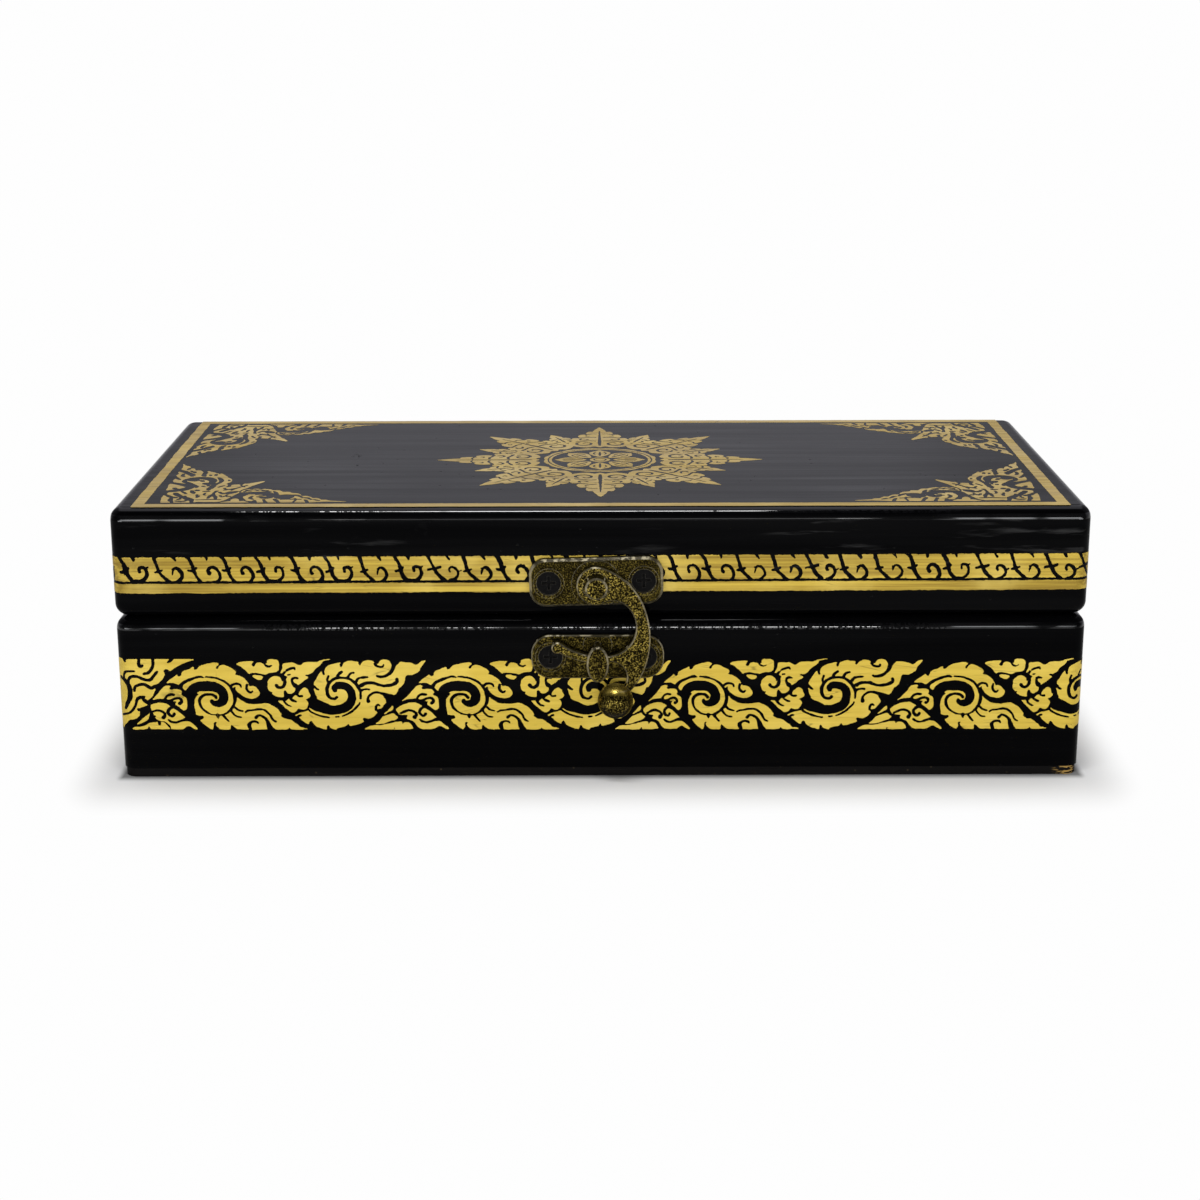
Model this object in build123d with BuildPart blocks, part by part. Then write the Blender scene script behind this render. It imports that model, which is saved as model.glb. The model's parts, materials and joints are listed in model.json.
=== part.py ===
from build123d import *
import os

# A hinged box of lacquered wood for papers and keepsakes, closed by a brass swing-hook latch.
# Millimetres. X runs along the front from left to right, Y from the front to the hinges, Z up.
# The origin is the centre of the underside.

# Case
box_length = 230.0
box_depth = 106.6
base_height = 39.7
lid_height = 26.3
seam_gap = 0.2
corner_radius = 3.4
edge_radius = 3.0
rim_easing = 0.6
base_wall = 8.0
lid_wall = 8.0
lid_panel_thickness = 6.0
bottom_thickness = 2.2
bottom_inset = 0.35

# Velvet-covered card that lines the inside
lining_thickness = 1.4
lining_roundness = 0.5
lining_fit = 0.15
lining_reveal = 2.4

# Butt hinges, let into the back of the seam
hinge_end_distance = 44.0
hinge_length = 24.0
knuckle_count = 3
knuckle_radius = 1.5
knuckle_gap = 0.15
barrel_clearance = 0.3
leaf_thickness = 0.9
leaf_margin = 0.9
mortise_clearance = 0.1
hinge_pin_radius = 0.6
pin_clearance = 0.05

# Hinge screws
hinge_screw_spacing = 14.0
hinge_screw_shank_radius = 0.75
hinge_screw_length = 7.0

# Latch: the rivet's axis is the latch's own origin
latch_side_shift = -1.1
pivot_rise = 8.75
plate_length = 31.4
upper_plate_width = 11.5
upper_plate_thickness = 2.0
upper_plate_shift = 0.35
upper_plate_tilt = 1.5
upper_plate_corner = 3.9
upper_plate_bevel = 0.55
lower_plate_width = 10.7
lower_plate_thickness = 1.2
lower_plate_drop = 18.2
lower_plate_side_shift = 0.3
lower_plate_corner = 4.6
lower_plate_bevel = 0.25
boss_radius = 5.8
boss_height = 0.7
keeper_boss_radius = 3.4
keeper_boss_height = 0.5
screw_collar_radius = 3.6
screw_collar_height = 0.25
latch_screw_spacing = 22.3
latch_screw_head_radius = 2.85
latch_screw_shank_radius = 1.3
latch_screw_length = 7.6
lower_screw_sink = 0.25
screw_clearance = 0.05

# Swing arm and its rivet
arm_gap = 0.1
arm_thickness = 1.8
arm_bevel = 0.3
eye_radius = 4.65
eye_shoulder_angle = 76.0
eye_chin_angle = -76.0
eye_recess_radius = 3.2
eye_recess_depth = 0.5
rivet_radius = 1.6
rivet_head_radius = 2.9
rivet_top_radius = 2.6
rivet_head_height = 3.0
rivet_top_bevel = 0.4
rivet_tail_radius = 2.3
rivet_tail_height = 0.6
rivet_clearance = 0.05
tail_pocket_clearance = 0.1
knob_radius = 4.2
knob_across = 4.45
knob_drop = 27.8
knob_dip = 0.15

# Keeper: a post with an oval head that holds the hook down
keeper_drop = 15.2
keeper_stem_radius = 0.85
keeper_head_half_width = 2.6
keeper_head_half_length = 4.4
keeper_head_drop = 3.5
keeper_head_height = 1.5
keeper_head_bevel = 0.4
keeper_gap = 0.15
keeper_tail_radius = 1.9
keeper_tail_height = 0.5

# Places that follow from the sizes above
seam_middle = base_height + seam_gap / 2
lid_bottom = base_height + seam_gap
lid_top = lid_bottom + lid_height
rail_top = lid_top - lid_panel_thickness
front_face = -box_depth / 2
hinge_axis_y = box_depth / 2 - knuckle_radius
hinge_x_right = box_length / 2 - hinge_end_distance
hinge_places = [("left", -hinge_x_right), ("right", hinge_x_right)]
leaf_reach = min(base_wall, lid_wall) - knuckle_radius - leaf_margin
leaf_screw_row = (knuckle_radius + leaf_reach) / 2
hinge_screw_head_radius = hinge_screw_shank_radius + leaf_thickness
latch_plane = Plane(
    origin=(latch_side_shift, front_face, seam_middle + pivot_rise),
    x_dir=(1, 0, 0),
    z_dir=(0, -1, 0),
)
upper_plate_plane = Plane(
    origin=latch_plane.origin,
    x_dir=latch_plane.x_dir.rotate(Axis.Y, -upper_plate_tilt),
    z_dir=latch_plane.z_dir,
)
arm_back = upper_plate_thickness + boss_height + arm_gap
arm_front = arm_back + arm_thickness
keeper_head_back = arm_front + keeper_gap
knob_height = lower_plate_thickness + knob_radius - knob_dip
upper_plate_places = [(side * latch_screw_spacing / 2, upper_plate_shift) for side in (-1, 1)]
lower_plate_places = [
    (lower_plate_side_shift + side * latch_screw_spacing / 2, -lower_plate_drop) for side in (-1, 1)
]
latch_screw_head_depth = latch_screw_head_radius - latch_screw_shank_radius
upper_screw_sink = upper_plate_thickness - latch_screw_head_depth
upper_screw_plane = upper_plate_plane.offset(upper_plate_thickness - upper_screw_sink)
lower_screw_plane = latch_plane.offset(lower_plate_thickness - lower_screw_sink)


def countersunk_form(head_radius, shank_radius, length):
    """A countersunk screw with a plain head, its face at the origin and its shank along -Z."""
    with BuildPart() as form:
        with BuildSketch(Plane.XZ):
            with BuildLine():
                Polyline(
                    (0, 0),
                    (head_radius, 0),
                    (shank_radius, shank_radius - head_radius),
                    (shank_radius, -length),
                    (0, -length),
                    close=True,
                )
            make_face()
        revolve(axis=Axis.Z)
    return form.part


def cross_head_screw(head_radius, shank_radius, length):
    """The same screw with its cross-shaped driving recess."""
    recess_length = 1.15 * head_radius
    recess_width = 0.26 * head_radius
    recess_depth = 0.3 * head_radius
    with BuildPart() as screw:
        add(countersunk_form(head_radius, shank_radius, length))
        with BuildSketch():
            Rectangle(recess_length, recess_width)
            Rectangle(recess_width, recess_length)
        extrude(amount=-recess_depth, mode=Mode.SUBTRACT)
    return screw.part


def screw_hole_form(head_radius, shank_radius, length):
    """The room that a screw takes in its plate and in the wood, with its clearance."""
    return countersunk_form(
        head_radius + screw_clearance, shank_radius + screw_clearance, length + screw_clearance
    )


latch_screw = cross_head_screw(latch_screw_head_radius, latch_screw_shank_radius, latch_screw_length)
latch_screw_hole = screw_hole_form(
    latch_screw_head_radius, latch_screw_shank_radius, latch_screw_length
)
hinge_screw = countersunk_form(hinge_screw_head_radius, hinge_screw_shank_radius, hinge_screw_length)
hinge_screw_hole = screw_hole_form(
    hinge_screw_head_radius, hinge_screw_shank_radius, hinge_screw_length
)

# The screws' places on the hinges, on the base's rim and on the lid's rim
base_leaf_plane = Plane(origin=(0, hinge_axis_y, base_height), x_dir=(1, 0, 0), z_dir=(0, 0, 1))
lid_leaf_plane = Plane(origin=(0, hinge_axis_y, lid_bottom), x_dir=(1, 0, 0), z_dir=(0, 0, -1))


def hinge_screw_places(toward_front):
    """Screw centres on a leaf plane; toward_front is the plane's own Y that points to the front."""
    return [
        (hinge_x + side * hinge_screw_spacing / 2, toward_front * leaf_screw_row)
        for _, hinge_x in hinge_places
        for side in (-1, 1)
    ]


base_screw_places = hinge_screw_places(-1)
lid_screw_places = hinge_screw_places(1)


def hinge_recess(rim_plane, toward_front):
    """The mortise for a leaf and the trough for the barrel, for both hinges."""
    mortise_length = hinge_length + 2 * mortise_clearance
    mortise_reach = leaf_reach + mortise_clearance
    with BuildPart() as recess:
        for _, hinge_x in hinge_places:
            with BuildSketch(rim_plane):
                with Locations((hinge_x, toward_front * mortise_reach / 2)):
                    Rectangle(mortise_length, mortise_reach)
            extrude(amount=-leaf_thickness)
            with BuildSketch(Plane.YZ.offset(hinge_x)):
                with Locations((hinge_axis_y, seam_middle)):
                    Circle(knuckle_radius + barrel_clearance)
            extrude(amount=mortise_length / 2, both=True)
    return recess.part


# The base's frame, before it is divided at its mitres
with BuildPart() as base_frame:
    with BuildSketch(Plane.XY.offset(bottom_thickness)):
        RectangleRounded(box_length, box_depth, corner_radius)
        Rectangle(box_length - 2 * base_wall, box_depth - 2 * base_wall, mode=Mode.SUBTRACT)
    extrude(amount=base_height - bottom_thickness)
    rim = base_frame.faces().sort_by(Axis.Z)[-1]
    fillet(rim.outer_wire().edges(), edge_radius)
    rim = base_frame.faces().sort_by(Axis.Z)[-1]
    chamfer(rim.inner_wires()[0].edges(), rim_easing)
    add(hinge_recess(base_leaf_plane, -1), mode=Mode.SUBTRACT)
    with Locations(base_leaf_plane):
        with Locations(*base_screw_places):
            add(hinge_screw_hole, mode=Mode.SUBTRACT)
    with Locations(lower_screw_plane):
        with Locations(*lower_plate_places):
            add(latch_screw_hole, mode=Mode.SUBTRACT)

# The lid's frame, before it is divided at its mitres
with BuildPart() as lid_frame:
    with BuildSketch(Plane.XY.offset(lid_bottom)):
        RectangleRounded(box_length, box_depth, corner_radius)
        Rectangle(box_length - 2 * lid_wall, box_depth - 2 * lid_wall, mode=Mode.SUBTRACT)
    extrude(amount=rail_top - lid_bottom)
    rim = lid_frame.faces().sort_by(Axis.Z)[0]
    fillet(rim.outer_wire().edges(), edge_radius)
    rim = lid_frame.faces().sort_by(Axis.Z)[0]
    chamfer(rim.inner_wires()[0].edges(), rim_easing)
    add(hinge_recess(lid_leaf_plane, 1), mode=Mode.SUBTRACT)
    with Locations(lid_leaf_plane):
        with Locations(*lid_screw_places):
            add(hinge_screw_hole, mode=Mode.SUBTRACT)
    with Locations(upper_screw_plane):
        with Locations(*upper_plate_places):
            add(latch_screw_hole, mode=Mode.SUBTRACT)


def mitred_side(frame, side, wall):
    """One side of a frame, cut off at the 45 degree mitres through its two corners."""
    spare = 1.0
    turns = {"front": 0, "right": 90, "back": 180, "left": 270}
    along = box_length if side in ("front", "back") else box_depth
    across = box_depth if side in ("front", "back") else box_length
    half = along / 2
    outer = -across / 2
    with BuildPart() as piece:
        add(frame)
        with BuildSketch(Plane.XY.rotated((0, 0, turns[side]))):
            Polygon(
                (-half - spare, outer - spare),
                (half + spare, outer - spare),
                (half - wall - spare, outer + wall + spare),
                (-half + wall + spare, outer + wall + spare),
                align=None,
            )
        extrude(amount=lid_top, mode=Mode.INTERSECT)
    return piece.part


def write(part, label):
    """Name a finished piece and write it as its own file."""
    part.label = label
    export_step(part, f"parts/{label}.step")


os.makedirs("parts", exist_ok=True)

# Wooden sides of the base and rails of the lid
for side in ("front", "back", "left", "right"):
    write(mitred_side(base_frame.part, side, base_wall), f"base_{side}_wall")
    write(mitred_side(lid_frame.part, side, lid_wall), f"lid_{side}_rail")

# Thin board glued under the base
with BuildPart() as base_bottom_board:
    with BuildSketch():
        RectangleRounded(
            box_length - 2 * bottom_inset, box_depth - 2 * bottom_inset, corner_radius - bottom_inset
        )
    extrude(amount=bottom_thickness)
write(base_bottom_board.part, "base_bottom_board")

# Lid panel, glued on the rails, with its upper edge rounded
with BuildPart() as lid_top_panel:
    with BuildSketch(Plane.XY.offset(rail_top)):
        RectangleRounded(box_length, box_depth, corner_radius)
    extrude(amount=lid_panel_thickness)
    fillet(lid_top_panel.faces().sort_by(Axis.Z)[-1].edges(), edge_radius)
write(lid_top_panel.part, "lid_top_panel")

# Lining of the base: a floor, and four sides that stand on it
base_room_length = box_length - 2 * base_wall
base_room_depth = box_depth - 2 * base_wall
floor_top = bottom_thickness + lining_thickness
side_lining_height = base_height - lining_reveal - floor_top

with BuildPart() as base_floor_lining:
    with BuildSketch(Plane.XY.offset(bottom_thickness)):
        Rectangle(base_room_length - 2 * lining_fit, base_room_depth - 2 * lining_fit)
    extrude(amount=lining_thickness)
write(base_floor_lining.part, "base_floor_lining")


def side_lining(length, height, face_plane):
    """A card that stands on the floor lining with its back to the wall and its top edge rounded."""
    with BuildPart() as lining:
        with BuildSketch(face_plane):
            Rectangle(length, height, align=(Align.CENTER, Align.MIN))
        extrude(amount=lining_thickness)
        long_edges = lining.faces().sort_by(Axis.Z)[-1].edges().sort_by(SortBy.LENGTH)[-2:]
        fillet(long_edges, lining_roundness)
    return lining.part


side_lining_length = base_room_length - 2 * lining_fit
end_lining_length = base_room_depth - 2 * lining_thickness - 2 * lining_fit
side_linings = [
    ("front", Vector(0, 1, 0), base_room_depth / 2, side_lining_length),
    ("back", Vector(0, -1, 0), base_room_depth / 2, side_lining_length),
    ("left", Vector(1, 0, 0), base_room_length / 2, end_lining_length),
    ("right", Vector(-1, 0, 0), base_room_length / 2, end_lining_length),
]
for side, inward, distance, length in side_linings:
    face_plane = Plane(
        origin=inward * -distance + Vector(0, 0, floor_top),
        x_dir=Vector(0, 0, 1).cross(inward),
        z_dir=inward,
    )
    write(side_lining(length, side_lining_height, face_plane), f"base_{side}_lining")

# Lining of the lid, under its panel
with BuildPart() as lid_top_lining:
    with BuildSketch(Plane.XY.offset(rail_top - lining_thickness)):
        Rectangle(
            box_length - 2 * (lid_wall + lining_fit), box_depth - 2 * (lid_wall + lining_fit)
        )
    extrude(amount=lining_thickness)
    fillet(lid_top_lining.faces().sort_by(Axis.Z)[0].edges(), lining_roundness)
write(lid_top_lining.part, "lid_top_lining")


def knuckle_places(hinge_x, first):
    """Centres along X of every second knuckle of a hinge's barrel."""
    pitch = hinge_length / knuckle_count
    middle = (knuckle_count - 1) / 2
    return [hinge_x + (number - middle) * pitch for number in range(first, knuckle_count, 2)]


def barrel_slices(places, radius, length):
    """Short cylinders on the hinge's axis."""
    with BuildPart() as slices:
        for place in places:
            with BuildSketch(Plane.YZ.offset(place)):
                with Locations((hinge_axis_y, seam_middle)):
                    Circle(radius)
            extrude(amount=length / 2, both=True)
    return slices.part


def hinge_leaf(hinge_x, rim_plane, toward_front, first_knuckle):
    """A leaf, its knuckles, and the room for the other leaf's knuckles, the pin and the screws."""
    pitch = hinge_length / knuckle_count
    with BuildPart() as leaf:
        with BuildSketch(rim_plane):
            with Locations((hinge_x, toward_front * leaf_reach / 2)):
                Rectangle(hinge_length, leaf_reach)
        extrude(amount=-leaf_thickness)
        own_places = knuckle_places(hinge_x, first_knuckle)
        other_places = knuckle_places(hinge_x, 1 - first_knuckle)
        other_room = knuckle_radius + knuckle_gap
        pin_room = hinge_pin_radius + pin_clearance
        add(barrel_slices(own_places, knuckle_radius, pitch - knuckle_gap))
        add(barrel_slices(other_places, other_room, pitch + knuckle_gap), mode=Mode.SUBTRACT)
        add(barrel_slices([hinge_x], pin_room, 2 * hinge_length), mode=Mode.SUBTRACT)
        with Locations(rim_plane):
            with Locations(*hinge_screw_places(toward_front)):
                add(hinge_screw_hole, mode=Mode.SUBTRACT)
    return leaf.part


for side, hinge_x in hinge_places:
    write(hinge_leaf(hinge_x, base_leaf_plane, -1, 0), f"{side}_hinge_base_leaf")
    write(hinge_leaf(hinge_x, lid_leaf_plane, 1, 1), f"{side}_hinge_lid_leaf")
    with BuildPart() as hinge_pin:
        add(barrel_slices([hinge_x], hinge_pin_radius, hinge_length))
    write(hinge_pin.part, f"{side}_hinge_pin")

# Hinge screws, four in the base and four in the lid
with BuildPart(base_leaf_plane) as base_hinge_screws:
    with Locations(*base_screw_places):
        add(hinge_screw)
write(base_hinge_screws.part, "base_hinge_screws")

with BuildPart(lid_leaf_plane) as lid_hinge_screws:
    with Locations(*lid_screw_places):
        add(hinge_screw)
write(lid_hinge_screws.part, "lid_hinge_screws")


def latch_plate(plate_plane, size, centre, corner, bevel, places, screw_sink, boss):
    """A bevelled plate with a flat-topped boss that the plate's own edges cut off."""
    length, width, thickness = size
    boss_place, radius, height = boss
    with BuildPart() as plate:
        with BuildSketch(plate_plane):
            with Locations(centre):
                RectangleRounded(length, width, corner)
        extrude(amount=thickness)
        chamfer(plate.faces().sort_by(Axis.Y)[0].edges(), bevel)
        with BuildSketch(plate_plane.offset(thickness)):
            with Locations(boss_place):
                Circle(radius)
            with Locations(centre):
                Rectangle(length, width - 2 * bevel, mode=Mode.INTERSECT)
        extrude(amount=height)
        with BuildSketch(plate_plane.offset(thickness)):
            with Locations(*places):
                Circle(screw_collar_radius)
        extrude(amount=screw_collar_height)
        seat_plane = plate_plane.offset(thickness - screw_sink)
        with BuildSketch(seat_plane):
            with Locations(*places):
                Circle(latch_screw_head_radius + screw_clearance)
        extrude(amount=thickness, mode=Mode.SUBTRACT)
        with Locations(seat_plane):
            with Locations(*places):
                add(latch_screw_hole, mode=Mode.SUBTRACT)
    return plate.part


# Upper plate, with the rivet's hole and the pocket behind it for the rivet's tail
with BuildPart() as latch_upper_plate:
    add(
        latch_plate(
            upper_plate_plane,
            (plate_length, upper_plate_width, upper_plate_thickness),
            (0, upper_plate_shift),
            upper_plate_corner,
            upper_plate_bevel,
            upper_plate_places,
            upper_screw_sink,
            ((0, 0), boss_radius, boss_height),
        )
    )
    with BuildSketch(latch_plane):
        Circle(rivet_radius + rivet_clearance)
    extrude(amount=arm_back, mode=Mode.SUBTRACT)
    with BuildSketch(latch_plane):
        Circle(rivet_tail_radius + tail_pocket_clearance)
    extrude(amount=rivet_tail_height + tail_pocket_clearance, mode=Mode.SUBTRACT)
write(latch_upper_plate.part, "latch_upper_plate")

# Lower plate, with the keeper's hole and the pocket behind it for the keeper's tail
keeper_place = (lower_plate_side_shift, -keeper_drop)
with BuildPart() as latch_lower_plate:
    add(
        latch_plate(
            latch_plane,
            (plate_length, lower_plate_width, lower_plate_thickness),
            (lower_plate_side_shift, -lower_plate_drop),
            lower_plate_corner,
            lower_plate_bevel,
            lower_plate_places,
            lower_screw_sink,
            (keeper_place, keeper_boss_radius, keeper_boss_height),
        )
    )
    with BuildSketch(latch_plane):
        with Locations(keeper_place):
            Circle(keeper_stem_radius + rivet_clearance)
    extrude(amount=arm_back, mode=Mode.SUBTRACT)
    with BuildSketch(latch_plane):
        with Locations(keeper_place):
            Circle(keeper_tail_radius + tail_pocket_clearance)
    extrude(amount=keeper_tail_height + tail_pocket_clearance, mode=Mode.SUBTRACT)
write(latch_lower_plate.part, "latch_lower_plate")

# Screws of the two plates
with BuildPart(upper_screw_plane) as latch_upper_screws:
    with Locations(*upper_plate_places):
        add(latch_screw)
write(latch_upper_screws.part, "latch_upper_screws")

with BuildPart(lower_screw_plane) as latch_lower_screws:
    with Locations(*lower_plate_places):
        add(latch_screw)
write(latch_lower_screws.part, "latch_lower_screws")

# Rivet that the arm turns on
rivet_head_back = arm_front - eye_recess_depth + arm_gap
with BuildPart() as latch_pivot_rivet:
    with BuildSketch(latch_plane):
        Circle(rivet_tail_radius)
    extrude(amount=rivet_tail_height)
    with BuildSketch(latch_plane):
        Circle(rivet_radius)
    extrude(amount=rivet_head_back)
    with BuildSketch(latch_plane.offset(rivet_head_back)):
        Circle(rivet_head_radius)
    with BuildSketch(latch_plane.offset(rivet_head_back + rivet_head_height)):
        Circle(rivet_top_radius)
    loft()
    chamfer(latch_pivot_rivet.faces().sort_by(Axis.Y)[0].edges(), rivet_top_bevel)
write(latch_pivot_rivet.part, "latch_pivot_rivet")

# Keeper post with its oval head
with BuildPart() as latch_keeper_post:
    with BuildSketch(latch_plane):
        with Locations(keeper_place):
            Circle(keeper_tail_radius)
    extrude(amount=keeper_tail_height)
    with BuildSketch(latch_plane):
        with Locations(keeper_place):
            Circle(keeper_stem_radius)
    extrude(amount=keeper_head_back)
    with BuildSketch(latch_plane.offset(keeper_head_back)):
        with Locations((lower_plate_side_shift, -keeper_drop - keeper_head_drop)):
            Ellipse(keeper_head_half_width, keeper_head_half_length)
    extrude(amount=keeper_head_height)
    chamfer(latch_keeper_post.faces().sort_by(Axis.Y)[0].edges(), keeper_head_bevel)
write(latch_keeper_post.part, "latch_keeper_post")

# Swing arm: an eye round the rivet, a back that bows to the right, a hook that passes under the
# keeper's head, and a ball to push it by. Points are measured from the rivet's axis.
arm_upper_back = (7.15, 1.0)
arm_back_top = (11.7, -6.4)
arm_back_middle = (12.7, -12.4)
arm_back_foot = (12.0, -18.3)
arm_heel = (10.7, -21.9)
neck_outside = (7.6, -26.2)
neck_inside = (5.9, -25.2)
notch_middle = (6.9, -20.9)
hook_root_below = (3.0, -18.55)
hook_middle_below = (-3.7, -18.3)
hook_tip_below = (-8.6, -16.35)
hook_tip_above = (-8.35, -13.95)
hook_root_above = (3.0, -17.05)
arm_inside_middle = (9.3, -9.9)
arm_inside_top = (6.6, -4.55)
eye_middle = (-eye_radius, 0)
arm_shoulder = Vector(eye_radius, 0).rotate(Axis.Z, eye_shoulder_angle)
arm_chin = Vector(eye_radius, 0).rotate(Axis.Z, eye_chin_angle)

with BuildPart() as latch_swing_arm:
    with BuildSketch(latch_plane.offset(arm_back)):
        with BuildLine():
            ThreePointArc(arm_shoulder, arm_upper_back, arm_back_top)
            ThreePointArc(arm_back_top, arm_back_middle, arm_back_foot)
            ThreePointArc(arm_back_foot, arm_heel, neck_outside)
            Line(neck_outside, neck_inside)
            ThreePointArc(neck_inside, notch_middle, hook_root_below)
            inside = ThreePointArc(arm_inside_top, arm_inside_middle, hook_root_above)
            hook_above = TangentArc(hook_root_above, hook_tip_above, tangent=inside % 1)
            TangentArc(hook_tip_above, hook_tip_below, tangent=hook_above % 1)
            ThreePointArc(hook_tip_below, hook_middle_below, hook_root_below)
            TangentArc(arm_inside_top, arm_chin, tangent=(inside % 0) * -1)
            ThreePointArc(arm_chin, eye_middle, arm_shoulder)
        make_face()
    extrude(amount=arm_thickness - arm_bevel)
    extrude(latch_swing_arm.faces().sort_by(Axis.Y)[0], amount=arm_bevel, taper=45)
    with Locations(latch_plane.offset(knob_height)):
        with Locations((knob_across, -knob_drop)):
            Sphere(knob_radius)
    with BuildSketch(latch_plane.offset(arm_back)):
        Circle(rivet_radius + rivet_clearance)
    extrude(amount=2 * arm_thickness, mode=Mode.SUBTRACT)
    with BuildSketch(latch_plane.offset(arm_front - eye_recess_depth)):
        Circle(eye_recess_radius)
    extrude(amount=2 * arm_thickness, mode=Mode.SUBTRACT)
write(latch_swing_arm.part, "latch_swing_arm")
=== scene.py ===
"""Looks of the lacquerware box: black lacquer, gilded scroll bands, brass latch and velvet inside."""

import json
import math

import bmesh
import bpy
import numpy as np
from mathutils import Matrix, Vector, noise
from mathutils.geometry import delaunay_2d_cdt


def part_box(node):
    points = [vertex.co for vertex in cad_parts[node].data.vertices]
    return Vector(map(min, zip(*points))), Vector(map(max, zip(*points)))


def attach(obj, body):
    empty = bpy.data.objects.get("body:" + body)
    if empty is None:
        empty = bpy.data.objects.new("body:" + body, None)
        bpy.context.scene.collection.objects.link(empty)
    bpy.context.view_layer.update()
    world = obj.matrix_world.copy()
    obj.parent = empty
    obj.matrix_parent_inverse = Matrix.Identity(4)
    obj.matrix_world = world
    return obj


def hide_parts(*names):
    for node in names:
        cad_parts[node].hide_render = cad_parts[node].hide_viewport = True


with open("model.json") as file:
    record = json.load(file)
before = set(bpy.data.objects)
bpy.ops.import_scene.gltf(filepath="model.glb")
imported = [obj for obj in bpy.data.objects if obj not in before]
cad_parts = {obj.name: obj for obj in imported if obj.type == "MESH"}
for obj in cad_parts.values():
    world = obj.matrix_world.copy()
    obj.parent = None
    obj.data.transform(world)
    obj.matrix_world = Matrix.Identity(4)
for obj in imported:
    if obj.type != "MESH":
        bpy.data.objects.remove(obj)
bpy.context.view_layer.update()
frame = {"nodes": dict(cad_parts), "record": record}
MM = 0.001

# the case in millimetres, and how far a leaf of gold stands proud of it
half_length, half_depth, lid_top = (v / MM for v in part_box("lid_top_panel")[1])
leaf_lift = 0.03
corner_radius = 3.4
straight_front = 2 * (half_length - corner_radius)
straight_side = 2 * (half_depth - corner_radius)
corner_arc = math.pi / 2 * corner_radius
case_round = 2 * (straight_front + straight_side) + 4 * corner_arc


# ---------------------------------------------------------------- gilding stencils

# the printed unit of two scrolls, how many go round the case, and where the band lies on it
SCROLL_LENGTH, SCROLL_HEIGHT, SCROLLS_ROUND = 59.0, 18.0, 11
BAND_FOOT, BAND_TOP, BAND_SLOPE = 11.7, 29.43, -0.0018

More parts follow.
